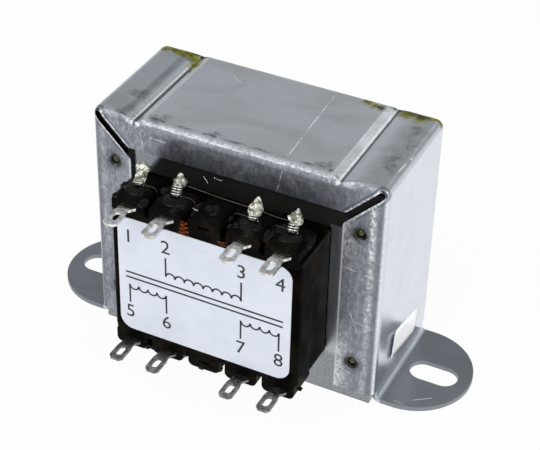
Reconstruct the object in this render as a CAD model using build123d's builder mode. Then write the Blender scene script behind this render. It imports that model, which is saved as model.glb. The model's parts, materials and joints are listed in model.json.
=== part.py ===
"""A chassis mount transformer: an E and I lamination core, a split coil on one former, and a folded strap frame."""

import math
import os

from build123d import *

os.makedirs("parts", exist_ok=True)

# Laminations: a tongue, two windows, two legs and the yokes that join them
tongue_width = 18.0
leg_width = 9.0
yoke_height = 9.0
window_width = 9.0
window_height = 27.0
stack_depth = 24.0

# Folded steel strap frame
sheet = 0.9
side_clearance = 0.1
crown_gap = 0.83
bend_inner = 0.7
side_lip_width = 7.7
top_lip_drop = 6.3
skirt_height = 2.5
relief_width = 1.3
relief_stop = 0.4
lip_corner = 1.5
dimple_inset = 4.5
dimple_spacing = 28.0
dimple_lift = 0.4
dimple_hole_radius = 0.8
dimple_rim_radius = 1.2
dimple_angle = 120.0

# Two creases pressed into the top, which bear on the core
crease_offset = 19.3
crease_steep_flank = 1.7
crease_shallow_flank = 5.6
crease_sag = 0.25
crease_flat = 0.4

# Fixing feet
foot_half_width = 11.0
foot_reach = 13.65
slot_pitch = 69.4
slot_length = 9.1
slot_width = 5.2

# Coil former
tongue_clearance = 0.2
window_clearance = 0.3
tube_wall = 0.9
tube_corner = 0.8
flange_thickness = 1.0
front_reach = 12.0
back_reach = 11.2
face_clearance = 0.4
flange_corner = 1.2
divider_thickness = 0.8
primary_share = 0.61
latch_width = 1.0
latch_reach = 0.9
latch_inset = 2.0

# Terminal blocks along the front edge of both flanges
block_width = 6.2
block_side_margin = 0.4
block_height = 2.9
block_depth = 6.4
block_corner = 1.1
wire_slot_start = 1.1
wire_slot_length = 5.2

# Cover over the front of the coil
cover_wall = 0.8
cover_corner = 1.0
cover_clearance = 0.1

# Windings and insulation: radial build at the sides and at the ends of the stack
inner_build_share = 0.47
coil_side_clearance = 0.3
coil_front_clearance = 0.8
film_thickness = 0.2
wrap_thickness = 0.4
winding_corner = 1.7

# Stamped terminals, each a tag with an eyelet and a post for the wire
tag_thickness = 0.5
tag_width = 2.6
tag_reach = 6.3
tag_tip_cut = 0.55
tag_waist_width = 2.1
tag_waist_start = 2.7
tag_waist_end = 1.6
tag_ear_reach = 1.9
tag_ear_width = 0.5
tag_stem_width = 2.0
eyelet_width = 1.2
eyelet_length = 2.5
eyelet_inset = 2.3
post_width = 1.1
post_setback = 2.4
post_lean = 33.0
post_rise = 3.4

# Wire wraps and solder on the posts, with the number of turns that stay bare on each post
wrap_root_radius = 0.85
wrap_turn_radius = 1.05
wrap_pitch = 0.44
wrap_clearance = 0.03
bare_turns = [2, 4, 2, 3]
solder_radius = 1.35
solder_swell = 0.5
solder_tip_radius = 0.2
solder_tip = 0.6

# Wires
primary_wire_radius = 0.09
secondary_wire_radius = 0.25
wire_bend = 0.9
wire_gap = 0.02

# Paper on the cover and on the side of the frame
label_side_margin = 1.4
label_end_margin = 0.1
label_corner = 2.5
label_thickness = 0.12
sticker_length = 13.0
sticker_height = 5.3
sticker_corner = 0.4
sticker_thickness = 0.1
sticker_centre_y = 0.3
sticker_centre_z = 7.7
sticker_tilt = -10.5

# Sizes of the core that follow from those above
core_width = tongue_width + 2 * window_width + 2 * leg_width
joint_height = yoke_height + window_height
core_height = joint_height + yoke_height
window_outer = tongue_width / 2 + window_width

# Sizes of the frame
bend_outer = bend_inner + sheet
inner_width = core_width + 2 * side_clearance
inner_height = core_height + crown_gap
frame_width = inner_width + 2 * sheet
frame_depth = stack_depth + 2 * sheet
frame_height = inner_height + sheet
lip_edge = frame_width / 2 - side_lip_width
top_lip_edge = frame_height - top_lip_drop
relief_diagonal = inner_width / 2 - inner_height
relief_offset = relief_width / math.sqrt(2)
relief_step = relief_offset / 2
relief_x = inner_width / 2 - relief_stop
relief_z = inner_height - relief_stop
side_lip_corner_z = lip_edge - relief_diagonal - relief_offset
top_lip_corner_x = top_lip_edge + relief_diagonal - relief_offset
dimple_x = frame_width / 2 - dimple_inset
crease_inner_x = crease_offset - crease_steep_flank
crease_outer_x = crease_offset + crease_shallow_flank
crease_middle_x = crease_offset + crease_shallow_flank / 2
foot_bend_x = frame_width / 2 + bend_inner
foot_round_x = frame_width / 2 + foot_reach - foot_half_width

# Sizes of the coil
former_bottom = yoke_height + window_clearance
former_top = joint_height - window_clearance
former_height = former_top - former_bottom
former_middle = (former_bottom + former_top) / 2
chamber_bottom = former_bottom + flange_thickness
chamber_top = former_top - flange_thickness
divider_top = chamber_top - (chamber_top - chamber_bottom) * primary_share
divider_bottom = divider_top - divider_thickness
tube_hole_x = tongue_width + 2 * tongue_clearance
tube_hole_y = stack_depth + 2 * tongue_clearance
tube_outer_x = tube_hole_x + 2 * tube_wall
tube_outer_y = tube_hole_y + 2 * tube_wall
window_plate_width = 2 * (window_outer - window_clearance)
front_width = 2 * window_outer
block_pitch = (front_width - block_width - 2 * block_side_margin) / 4
front_y = -(stack_depth / 2 + front_reach)
back_y = stack_depth / 2 + back_reach
face_y = -(stack_depth / 2 + face_clearance)
cover_inner_width = front_width - 2 * cover_wall
divider_width = cover_inner_width - 2 * cover_clearance
divider_front_y = front_y + cover_wall + cover_clearance
coil_half_x = cover_inner_width / 2 - coil_side_clearance
coil_half_y = -front_y - cover_wall - coil_front_clearance
winding_build_side = (coil_half_x - tube_outer_x / 2 - film_thickness - wrap_thickness) / 2
winding_build_end = coil_half_y - tube_outer_y / 2 - film_thickness - wrap_thickness
inner_build_end = winding_build_end * inner_build_share
outer_build_end = winding_build_end - inner_build_end
label_width = front_width - 2 * label_side_margin
label_height = chamber_top - chamber_bottom - 2 * label_end_margin

# Places of the terminals
block_top = former_top + block_height
tag_level = former_top + block_height / 2
tag_positions = [-2 * block_pitch, -block_pitch, block_pitch, 2 * block_pitch]
block_positions = [-2 * block_pitch, -block_pitch, 0, block_pitch, 2 * block_pitch]
slot_positions = [-1.5 * block_pitch, -0.5 * block_pitch, 0.5 * block_pitch, 1.5 * block_pitch]
tag_tip_y = front_y - tag_reach
post_foot_y = front_y + post_setback
lean_angle = math.radians(post_lean)
post_direction = (0, math.sin(lean_angle), math.cos(lean_angle))
post_length = (block_top + post_rise - tag_level) / math.cos(lean_angle)
post_exit_y = post_foot_y + (block_top - tag_level) * math.tan(lean_angle)
post_above = post_rise / math.cos(lean_angle)
wrap_start = wrap_turn_radius * math.tan(lean_angle) + wrap_clearance
first_turn = wrap_start + wrap_pitch / 2
lead_y = post_exit_y + first_turn * math.sin(lean_angle)
lead_z = block_top + first_turn * math.cos(lean_angle)

front_of_frame = Plane(origin=(0, -frame_depth / 2, 0), x_dir=(1, 0, 0), z_dir=(0, -1, 0))
back_of_frame = Plane(origin=(0, frame_depth / 2, 0), x_dir=(-1, 0, 0), z_dir=(0, 1, 0))
side_of_frame = Plane(origin=(frame_width / 2, 0, 0), x_dir=(0, 1, 0), z_dir=(1, 0, 0))
front_of_former = Plane(origin=(0, front_y, 0), x_dir=(1, 0, 0), z_dir=(0, -1, 0))
middle_of_former = Plane.XY.offset(former_middle)


# Core: the E laminations stand on their yoke, and the I laminations close the path on top
with BuildPart() as core_e_stack:
    with BuildSketch(Plane.XZ):
        with Locations((0, yoke_height / 2)):
            Rectangle(core_width, yoke_height)
        with Locations((0, yoke_height + window_height / 2)):
            Rectangle(tongue_width, window_height)
            with GridLocations(core_width - leg_width, 0, 2, 1):
                Rectangle(leg_width, window_height)
    extrude(amount=stack_depth / 2, both=True)
core_e_stack.part.label = "core_e_stack"
export_step(core_e_stack.part, "parts/core_e_stack.step")

with BuildPart() as core_i_stack:
    with BuildSketch(Plane.XZ):
        with Locations((0, joint_height + yoke_height / 2)):
            Rectangle(core_width, yoke_height)
    extrude(amount=stack_depth / 2, both=True)
core_i_stack.part.label = "core_i_stack"
export_step(core_i_stack.part, "parts/core_i_stack.step")


# The space inside the frame: its upright folds are set hard on the core, and the top folds have a radius
with BuildPart() as frame_hollow:
    with BuildSketch(Plane.XY):
        Rectangle(inner_width, stack_depth)
    extrude(amount=inner_height)
    fillet(frame_hollow.faces().sort_by(Axis.Z)[-1].edges(), bend_inner)

# Mounting frame: one strip of sheet folded into a top, two sides, lips front and back, and two feet
with BuildPart() as mounting_frame:
    with BuildSketch(Plane.XY.offset(skirt_height)):
        Rectangle(frame_width, frame_depth)
    extrude(amount=frame_height - skirt_height)
    fillet(mounting_frame.edges().filter_by(Axis.Z), bend_outer)
    fillet(mounting_frame.faces().sort_by(Axis.Z)[-1].edges(), bend_outer)
    add(frame_hollow.part, mode=Mode.SUBTRACT)

    # The opening between the lips, with a mitred relief into each top corner
    for lip_plane in (front_of_frame, back_of_frame):
        with BuildSketch(lip_plane):
            with BuildLine():
                Line((0, skirt_height), (lip_edge, skirt_height))
                Line((lip_edge, skirt_height), (lip_edge, side_lip_corner_z))
                Line((lip_edge, side_lip_corner_z), (relief_x + relief_step, relief_z - relief_step))
                ThreePointArc(
                    (relief_x + relief_step, relief_z - relief_step),
                    (relief_x + relief_step, relief_z + relief_step),
                    (relief_x - relief_step, relief_z + relief_step),
                )
                Line((relief_x - relief_step, relief_z + relief_step), (top_lip_corner_x, top_lip_edge))
                Line((top_lip_corner_x, top_lip_edge), (0, top_lip_edge))
                mirror(about=Plane.YZ)
            make_face()
        extrude(amount=-(sheet + bend_inner), mode=Mode.SUBTRACT)
    lip_corners = mounting_frame.edges().filter_by(Axis.Y)
    lip_corners = lip_corners.filter_by_position(Axis.Z, side_lip_corner_z - sheet, top_lip_edge + sheet)
    lip_corners = lip_corners.filter_by_position(Axis.X, -top_lip_corner_x - sheet, top_lip_corner_x + sheet)
    fillet(lip_corners, lip_corner)

    # Creases: steep on the inner side and shallow on the outer one, and inside they bear on the core
    for side in (-1, 1):
        with BuildSketch(Plane.XZ):
            with BuildLine():
                Line((side * crease_outer_x, frame_height), (side * crease_inner_x, frame_height))
                Line((side * crease_inner_x, frame_height), (side * crease_offset, frame_height - crown_gap))
                ThreePointArc(
                    (side * crease_offset, frame_height - crown_gap),
                    (side * crease_middle_x, frame_height - crease_sag * crown_gap),
                    (side * crease_outer_x, frame_height),
                )
            make_face()
        extrude(amount=frame_depth / 2, both=True, mode=Mode.SUBTRACT)
        with BuildSketch(Plane.XZ):
            with BuildLine():
                Line((side * crease_outer_x, inner_height), (side * crease_inner_x, inner_height))
                Line((side * crease_inner_x, inner_height), (side * (crease_offset - crease_flat), core_height))
                Line((side * (crease_offset - crease_flat), core_height), (side * crease_offset, core_height))
                ThreePointArc(
                    (side * crease_offset, core_height),
                    (side * crease_middle_x, inner_height - crease_sag * crown_gap),
                    (side * crease_outer_x, inner_height),
                )
            make_face()
        extrude(amount=stack_depth / 2, both=True)

    # Punched dimples that pin the laminations
    for lip_plane in (front_of_frame, back_of_frame):
        with Locations(lip_plane):
            with Locations((0, former_middle + dimple_lift)):
                with GridLocations(2 * dimple_x, dimple_spacing, 2, 2):
                    CounterSinkHole(
                        radius=dimple_hole_radius,
                        counter_sink_radius=dimple_rim_radius,
                        depth=sheet,
                        counter_sink_angle=dimple_angle,
                    )

    # Each side runs down into a bend and a round ended foot with its fixing slot
    with BuildSketch(Plane.XZ):
        with BuildLine():
            Line((foot_bend_x, 0), (foot_round_x, 0))
            Line((foot_round_x, 0), (foot_round_x, sheet))
            Line((foot_round_x, sheet), (foot_bend_x, sheet))
            RadiusArc((foot_bend_x, sheet), (frame_width / 2, bend_outer), bend_inner)
            Line((frame_width / 2, bend_outer), (frame_width / 2, skirt_height))
            Line((frame_width / 2, skirt_height), (inner_width / 2, skirt_height))
            Line((inner_width / 2, skirt_height), (inner_width / 2, bend_outer))
            RadiusArc((inner_width / 2, bend_outer), (foot_bend_x, 0), -bend_outer)
        make_face()
        mirror(about=Plane.YZ)
    extrude(amount=foot_half_width, both=True)
    with BuildSketch(Plane.XY):
        with GridLocations(2 * foot_round_x, 0, 2, 1):
            Circle(foot_half_width)
        Rectangle(2 * foot_round_x, 2 * foot_half_width, mode=Mode.SUBTRACT)
    extrude(amount=sheet)
    with BuildSketch(Plane.XY):
        with GridLocations(slot_pitch, 0, 2, 1):
            SlotOverall(slot_length, slot_width)
    extrude(amount=sheet, mode=Mode.SUBTRACT)
mounting_frame.part.label = "mounting_frame"
export_step(mounting_frame.part, "parts/mounting_frame.step")


# One stamped terminal: a tag with an eyelet and a wire hook, whose tail turns up into the leaning post
with BuildPart() as terminal_blank:
    with BuildSketch(Plane.XY.offset(tag_level - tag_thickness / 2)):
        with BuildLine():
            Polyline(
                (-tag_width / 2, tag_tip_y + tag_tip_cut),
                (tag_tip_cut - tag_width / 2, tag_tip_y),
                (tag_width / 2 - tag_tip_cut, tag_tip_y),
                (tag_width / 2, tag_tip_y + tag_tip_cut),
                (tag_width / 2, front_y - tag_waist_start),
                (tag_waist_width / 2, front_y - tag_waist_end),
                (tag_ear_reach, front_y - tag_ear_width),
                (tag_ear_reach, front_y),
                (tag_stem_width / 2, front_y),
                (tag_stem_width / 2, post_foot_y + tag_thickness),
                (-tag_stem_width / 2, post_foot_y + tag_thickness),
                (-tag_stem_width / 2, front_y),
                (-tag_waist_width / 2, front_y - tag_waist_end),
                (-tag_width / 2, front_y - tag_waist_start),
                close=True,
            )
        make_face()
        with Locations((0, tag_tip_y + eyelet_inset)):
            SlotOverall(eyelet_length, eyelet_width, rotation=90, mode=Mode.SUBTRACT)
    extrude(amount=tag_thickness)
    with BuildSketch(Plane(origin=(0, post_foot_y, tag_level), x_dir=(1, 0, 0), z_dir=post_direction)):
        Rectangle(post_width, tag_thickness)
    extrude(amount=post_length)

# Coil former: a tube round the tongue, two flanges, a divider and the terminal blocks, moulded as one
with BuildPart() as coil_former:
    with BuildSketch(Plane.XY.offset(former_bottom)):
        RectangleRounded(tube_outer_x, tube_outer_y, tube_corner)
    extrude(amount=former_height)
    for level in (former_bottom, chamber_top):
        with BuildSketch(Plane.XY.offset(level)):
            with Locations((0, (back_y + front_y) / 2)):
                Rectangle(window_plate_width, back_y - front_y)
            with Locations((0, (face_y + front_y) / 2)):
                Rectangle(front_width, face_y - front_y)
        extrude(amount=flange_thickness)
    fillet(coil_former.edges().filter_by(Axis.Z).group_by(Axis.Y)[0], flange_corner)
    fillet(coil_former.edges().filter_by(Axis.Z).group_by(Axis.Y)[-1], flange_corner)

    # The divider between the chambers, and the tab that latches the cover
    with BuildSketch(Plane.XY.offset(divider_bottom)):
        with Locations((0, (back_y + divider_front_y) / 2)):
            Rectangle(divider_width, back_y - divider_front_y)
        with Locations((-(divider_width + front_width) / 4 - latch_reach / 2, divider_front_y + latch_inset)):
            Rectangle((front_width - divider_width) / 2 + latch_reach, latch_width)
    extrude(amount=divider_thickness)

    # Terminal blocks on both flanges
    with BuildSketch(Plane.XY.offset(former_bottom - block_height)):
        with Locations((0, front_y + block_depth / 2)):
            with GridLocations(block_pitch, 0, len(block_positions), 1):
                Rectangle(block_width, block_depth)
    extrude(amount=block_height)
    with BuildSketch(Plane.XY.offset(former_top)):
        with Locations((0, front_y + block_depth / 2)):
            with GridLocations(block_pitch, 0, len(block_positions), 1):
                Rectangle(block_width, block_depth)
    extrude(amount=block_height)
    fillet(coil_former.edges().filter_by(Axis.Y).group_by(Axis.Z)[0], block_corner)
    fillet(coil_former.edges().filter_by(Axis.Y).group_by(Axis.Z)[-1], block_corner)

    # The hole for the tongue, and slots that let the wire ends out between the blocks
    with BuildSketch(Plane.XY.offset(former_bottom)):
        Rectangle(tube_hole_x, tube_hole_y)
    extrude(amount=former_height, mode=Mode.SUBTRACT)
    for level in (former_bottom, chamber_top):
        with BuildSketch(Plane.XY.offset(level)):
            with Locations((0, front_y + wire_slot_start + wire_slot_length / 2)):
                with GridLocations(block_pitch, 0, len(slot_positions), 1):
                    Rectangle(block_pitch - block_width, wire_slot_length)
        extrude(amount=flange_thickness, mode=Mode.SUBTRACT)

    # A seat for each terminal, and the empty seat in the middle block
    for position in tag_positions:
        seated = Pos(position, 0, 0) * terminal_blank.part
        add(seated, mode=Mode.SUBTRACT)
        add(seated.mirror(middle_of_former), mode=Mode.SUBTRACT)
    for level in (tag_level, 2 * former_middle - tag_level):
        with BuildSketch(front_of_former):
            with Locations((0, level)):
                Rectangle(tag_stem_width, tag_thickness)
        extrude(amount=-(post_setback + tag_thickness), mode=Mode.SUBTRACT)
coil_former.part.label = "coil_former"
export_step(coil_former.part, "parts/coil_former.step")

# Cover over the front and the cheeks of the coil, between the flanges
with BuildPart() as coil_cover:
    with BuildSketch(Plane.XY.offset(chamber_bottom)):
        with Locations((0, (face_y + front_y) / 2)):
            Rectangle(front_width, face_y - front_y)
        with Locations((0, (face_y + front_y + cover_wall) / 2)):
            Rectangle(cover_inner_width, face_y - front_y - cover_wall, mode=Mode.SUBTRACT)
    extrude(amount=chamber_top - chamber_bottom)
    fillet(coil_cover.edges().filter_by(Axis.Z).group_by(Axis.Y)[0], cover_corner)
    with BuildSketch(Plane.XY.offset(divider_bottom)):
        with Locations((-(front_width - cover_wall) / 2, divider_front_y + latch_inset)):
            Rectangle(2 * cover_wall, latch_width + 2 * cover_clearance)
    extrude(amount=divider_thickness, mode=Mode.SUBTRACT)
coil_cover.part.label = "coil_cover"
export_step(coil_cover.part, "parts/coil_cover.step")


# Windings: in each chamber an inner coil, a film, an outer coil and the outer wrap, each seated on the last
layers = [
    ("winding_inner", winding_build_side, inner_build_end, winding_corner),
    ("layer_insulation", film_thickness, film_thickness, film_thickness),
    ("winding_outer", winding_build_side, outer_build_end, winding_corner),
    ("outer_wrap", wrap_thickness, wrap_thickness, wrap_thickness),
]
chambers = [("primary", divider_top, chamber_top), ("secondary", chamber_bottom, divider_bottom)]
for chamber, chamber_floor, chamber_ceiling in chambers:
    inner_x = tube_outer_x
    inner_y = tube_outer_y
    inner_corner = tube_corner
    for layer, build_side, build_end, corner_growth in layers:
        outer_x = inner_x + 2 * build_side
        outer_y = inner_y + 2 * build_end
        outer_corner = inner_corner + corner_growth
        with BuildPart() as turns:
            with BuildSketch(Plane.XY.offset(chamber_floor)):
                RectangleRounded(outer_x, outer_y, outer_corner)
                RectangleRounded(inner_x, inner_y, inner_corner, mode=Mode.SUBTRACT)
            extrude(amount=chamber_ceiling - chamber_floor)
        turns.part.label = f"{chamber}_{layer}"
        export_step(turns.part, f"parts/{chamber}_{layer}.step")
        inner_x = outer_x
        inner_y = outer_y
        inner_corner = outer_corner


# Terminals: four on the top flange for the primary, four on the bottom flange for the secondary
for number, position in enumerate(tag_positions, start=1):
    with BuildPart() as primary_tag:
        with Locations((position, 0, 0)):
            add(terminal_blank.part)
    primary_tag.part.label = f"primary_tag_{number}"
    export_step(primary_tag.part, f"parts/primary_tag_{number}.step")

    with BuildPart() as secondary_tag:
        mirror(primary_tag.part, about=middle_of_former)
    secondary_tag.part.label = f"secondary_tag_{number}"
    export_step(secondary_tag.part, f"parts/secondary_tag_{number}.step")

# Joints: the wire end is wrapped round the post, and solder closes the upper turns and the tip
for number, position in enumerate(tag_positions, start=1):
    solder_start = wrap_start + bare_turns[number - 1] * wrap_pitch
    joint_plane = Plane(
        origin=(position, post_exit_y, block_top),
        x_dir=(1, 0, 0),
        z_dir=(0, -math.cos(lean_angle), math.sin(lean_angle)),
    )
    with BuildPart() as primary_joint:
        with BuildSketch(joint_plane):
            with BuildLine():
                Line((0, wrap_start), (wrap_root_radius, wrap_start))
                for turn in range(bare_turns[number - 1]):
                    turn_start = wrap_start + turn * wrap_pitch
                    ThreePointArc(
                        (wrap_root_radius, turn_start),
                        (wrap_turn_radius, turn_start + wrap_pitch / 2),
                        (wrap_root_radius, turn_start + wrap_pitch),
                    )
                Line((wrap_root_radius, solder_start), (solder_radius, solder_start + solder_swell))
                Line((solder_radius, solder_start + solder_swell), (solder_tip_radius, post_above + solder_tip))
                Line((solder_tip_radius, post_above + solder_tip), (0, post_above + solder_tip))
                Line((0, post_above + solder_tip), (0, wrap_start))
            make_face()
        revolve(axis=Axis((position, post_exit_y, block_top), post_direction))
        with Locations((position, 0, 0)):
            add(terminal_blank.part, mode=Mode.SUBTRACT)
    primary_joint.part.label = f"primary_joint_{number}"
    export_step(primary_joint.part, f"parts/primary_joint_{number}.step")

    with BuildPart() as secondary_joint:
        mirror(primary_joint.part, about=middle_of_former)
    secondary_joint.part.label = f"secondary_joint_{number}"
    export_step(secondary_joint.part, f"parts/secondary_joint_{number}.step")

# Lead wires: each rises from the outer coil through a slot and turns to the post beside it
with BuildPart() as primary_leads:
    for position in tag_positions:
        towards_middle = -math.copysign(1, position)
        slot_x = position + towards_middle * block_pitch / 2
        with BuildLine() as route:
            FilletPolyline(
                (slot_x, lead_y, chamber_top),
                (slot_x, lead_y, lead_z),
                (position + towards_middle * (wrap_turn_radius + wire_gap), lead_y, lead_z),
                radius=wire_bend,
            )
        with BuildSketch(Plane.XY.offset(chamber_top)):
            with Locations((slot_x, lead_y)):
                Circle(primary_wire_radius)
        sweep(path=route.wires()[0])
primary_leads.part.label = "primary_leads"
export_step(primary_leads.part, "parts/primary_leads.step")

with BuildPart() as secondary_leads:
    for position in tag_positions:
        towards_middle = -math.copysign(1, position)
        slot_x = position + towards_middle * block_pitch / 2
        lead_bottom_z = 2 * former_middle - lead_z
        with BuildLine() as route:
            FilletPolyline(
                (slot_x, lead_y, chamber_bottom),
                (slot_x, lead_y, lead_bottom_z),
                (position + towards_middle * (wrap_turn_radius + wire_gap), lead_y, lead_bottom_z),
                radius=wire_bend,
            )
        with BuildSketch(Plane.XY.offset(chamber_bottom)):
            with Locations((slot_x, lead_y)):
                Circle(secondary_wire_radius)
        sweep(path=route.wires()[0])
secondary_leads.part.label = "secondary_leads"
export_step(secondary_leads.part, "parts/secondary_leads.step")

# Link wires: the fine wire that runs from the second post to the third and on to the fourth
with BuildPart() as primary_links:
    for start, end in ((1, 2), (2, 3)):
        widest = wrap_start + wrap_pitch * bare_turns[2] + solder_swell
        link_y = post_exit_y + widest * math.sin(lean_angle)
        link_z = block_top + widest * math.cos(lean_angle)
        link_start = tag_positions[start] + solder_radius + wire_gap
        link_length = tag_positions[end] - tag_positions[start] - 2 * (solder_radius + wire_gap)
        with BuildSketch(Plane(origin=(link_start, link_y, link_z), x_dir=(0, 1, 0), z_dir=(1, 0, 0))):
            Circle(primary_wire_radius)
        extrude(amount=link_length)
primary_links.part.label = "primary_links"
export_step(primary_links.part, "parts/primary_links.step")


# Paper label on the cover, and a small sticker on the side of the frame
with BuildPart() as front_label:
    with BuildSketch(front_of_former):
        with Locations((0, former_middle)):
            RectangleRounded(label_width, label_height, label_corner)
    extrude(amount=label_thickness)
front_label.part.label = "front_label"
export_step(front_label.part, "parts/front_label.step")

with BuildPart() as side_sticker:
    with BuildSketch(side_of_frame):
        with Locations(Location((sticker_centre_y, sticker_centre_z), sticker_tilt)):
            RectangleRounded(sticker_length, sticker_height, sticker_corner)
    extrude(amount=sticker_thickness)
side_sticker.part.label = "side_sticker"
export_step(side_sticker.part, "parts/side_sticker.step")
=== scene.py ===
"""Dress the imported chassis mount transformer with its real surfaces, solder, varnish and print, and light it."""

from __future__ import annotations

import json
import logging
import math
import random
from dataclasses import dataclass
from enum import Enum
from functools import cached_property, reduce
from typing import Callable, Iterable, Mapping, Sequence

import bmesh
import bpy
from mathutils import Matrix, Vector, noise

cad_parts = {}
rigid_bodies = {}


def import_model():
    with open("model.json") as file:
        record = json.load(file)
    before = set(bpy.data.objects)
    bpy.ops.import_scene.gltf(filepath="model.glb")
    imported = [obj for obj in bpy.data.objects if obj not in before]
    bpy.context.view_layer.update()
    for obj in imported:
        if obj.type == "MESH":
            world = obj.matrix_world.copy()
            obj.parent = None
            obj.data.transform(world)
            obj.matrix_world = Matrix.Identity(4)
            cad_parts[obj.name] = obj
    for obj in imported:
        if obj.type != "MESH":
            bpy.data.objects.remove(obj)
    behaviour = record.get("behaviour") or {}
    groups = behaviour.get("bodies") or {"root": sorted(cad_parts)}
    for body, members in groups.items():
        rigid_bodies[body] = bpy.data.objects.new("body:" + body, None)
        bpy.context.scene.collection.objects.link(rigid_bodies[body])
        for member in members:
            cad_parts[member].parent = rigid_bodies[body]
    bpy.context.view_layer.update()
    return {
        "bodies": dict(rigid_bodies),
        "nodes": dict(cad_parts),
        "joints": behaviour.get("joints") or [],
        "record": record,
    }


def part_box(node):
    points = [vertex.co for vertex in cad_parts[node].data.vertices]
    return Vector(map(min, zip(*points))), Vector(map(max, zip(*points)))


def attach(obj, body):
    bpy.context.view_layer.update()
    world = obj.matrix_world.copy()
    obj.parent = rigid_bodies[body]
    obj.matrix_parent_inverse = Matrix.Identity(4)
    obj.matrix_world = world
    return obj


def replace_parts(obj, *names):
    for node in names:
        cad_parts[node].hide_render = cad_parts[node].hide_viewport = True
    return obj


LOG = logging.getLogger("transformer")
MM = 0.001
# Where a mix node keeps its two colours and its result
COLOUR_INPUTS = (6, 7)
COLOUR_OUTPUT = 2
# Dimples of the frame in millimetres: distance from the middle plane, middle height, and how far up or down
DIMPLE_X, DIMPLE_Z, DIMPLE_RISE = 23.5, 22.9, 14.0

Point = tuple[float, float, float]
Spots = tuple[tuple[Point, float], ...]
Socket = bpy.types.NodeSocket
Inputs = Mapping[str | int, object]


class Slot(str, Enum):
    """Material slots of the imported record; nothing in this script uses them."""

    NYLON = "moulded_nylon"
    COPPER = "enamelled_copper"
    TAPE = "black_tape"
    WIRE = "tinned_wire"
    SOLDER = "solder"
    PAPER = "label_paper"


class Side(Enum):
    """Which flange a terminal stands on; the value is the sign of its direction away from the coil."""

    PRIMARY = 1
    SECONDARY = -1


def linear(code: str) -> tuple[float, float, float, float]:
    """Turn an sRGB hex colour into the linear colour that a shader takes.

    Args:
        code: Six hex digits after a hash sign.

    Returns:
        Linear red, green and blue, and a full alpha.
    """
    channels = [int(code[place : place + 2], 16) / 255 for place in (1, 3, 5)]
    parts = [c / 12.92 if c <= 0.04045 else ((c + 0.055) / 1.055) ** 2.4 for c in channels]
    return parts[0], parts[1], parts[2], 1.0


class Tree:
    """A node tree that starts empty."""

    def __init__(self, owner: bpy.types.Material | bpy.types.World) -> None:
        """Turn the owner's nodes on and clear them.

        Args:
            owner: What the tree belongs to.
        """
        owner.use_nodes = True
        self.tree = owner.node_tree
        self.tree.nodes.clear()

    def add(self, kind: str, inputs: Inputs | None = None, **settings: object) -> bpy.types.Node:
        """Add one node.

        Args:
            kind: Blender's name of the node's type.
            inputs: What its inputs hold or are joined to, by name or place.
            settings: Properties of the node.

        Returns:
            The new node.
        """
        node = self.tree.nodes.new(kind)
        for name, value in settings.items():
            setattr(node, name, value)
        for name, given in (inputs or {}).items():
            value = given.socket if isinstance(given, Value) else given
            if isinstance(value, bpy.types.NodeSocket):
                self.tree.links.new(value, node.inputs[name])
            else:
                node.inputs[name].default_value = value
        return node


def node_operator(kind: str, swapped: bool = False) -> Callable[[Value, object], Value]:
    """Make an operator of a value from one math node.

    Args:
        kind: The node's operation.
        swapped: True if the value stands on the right of the sign.

    Returns:
        The method.
    """

    def joined(self: Value, other: object) -> Value:
        """Join both sides in the node."""
        return self.sheet.math(kind, *((other, self) if swapped else (self, other)))

    return joined


class Value:
    """What the shader works out at each point. It takes part in sums, and | takes the greater of two."""

    __add__ = node_operator("ADD")
    __sub__ = node_operator("SUBTRACT")
    __rsub__ = node_operator("SUBTRACT", swapped=True)
    __mul__ = node_operator("MULTIPLY")
    __truediv__ = node_operator("DIVIDE")
    __or__ = node_operator("MAXIMUM")

    def __init__(self, sheet: Sheet, socket: Socket) -> None:
        """Keep the socket with its tree.

        Args:
            sheet: The tree that works it out.
            socket: Where it comes out.
        """
        self.sheet = sheet
        self.socket = socket

    def __abs__(self) -> Value:
        """Return the value without its sign."""
        return self.sheet.math("ABSOLUTE", self)

    def axis(self, name: str) -> Value:
        """Return one part of a vector.

        Args:
            name: X, Y or Z.

        Returns:
            That coordinate.
        """
        return self.sheet.value("ShaderNodeSeparateXYZ", {0: self}, name)

    def span(self, low: float, high: float, start: float = 0.0, end: float = 1.0) -> Value:
        """Map one range to another and hold it at the ends, smoothly if low is the smaller.

        Args:
            low: The value that gives start.
            high: The value that gives end.
            start: The first result.
            end: The last result.

        Returns:
            The mapped value.
        """
        inputs = {"Value": self, "From Min": low, "From Max": high, "To Min": start, "To Max": end}
        kind = "SMOOTHSTEP" if low < high else "LINEAR"
        return self.sheet.value("ShaderNodeMapRange", inputs, interpolation_type=kind)

    def band(self, middle: float, outer: float, inner: float) -> Value:
        """Return a mask of the values near a middle one.

        Args:
            middle: The middle value.
            outer: How far from it the mask ends.
            inner: How far from it the mask starts to fall.

        Returns:
            1 near the middle and 0 away from it.
        """
        return abs(self - middle).span(outer, inner)

    def blend(self, first: Value | str, second: Value | str) -> Value:
        """Blend two colours with this value as the share of the second.

        Args:
            first: A colour as hex or a value.
            second: A colour as hex or a value.

        Returns:
            The blended colour.
        """
        colours = [linear(c) if isinstance(c, str) else c for c in (first, second)]
        inputs = {0: self, **dict(zip(COLOUR_INPUTS, colours))}
        return self.sheet.value("ShaderNodeMix", inputs, COLOUR_OUTPUT, data_type="RGBA")


def union(masks: Iterable[Value]) -> Value:
    """Return one mask of what is in any of several.

    Args:
        masks: The masks.

    Returns:
        The greatest of them at each point.
    """
    return reduce(lambda first, second: first | second, masks)


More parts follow.
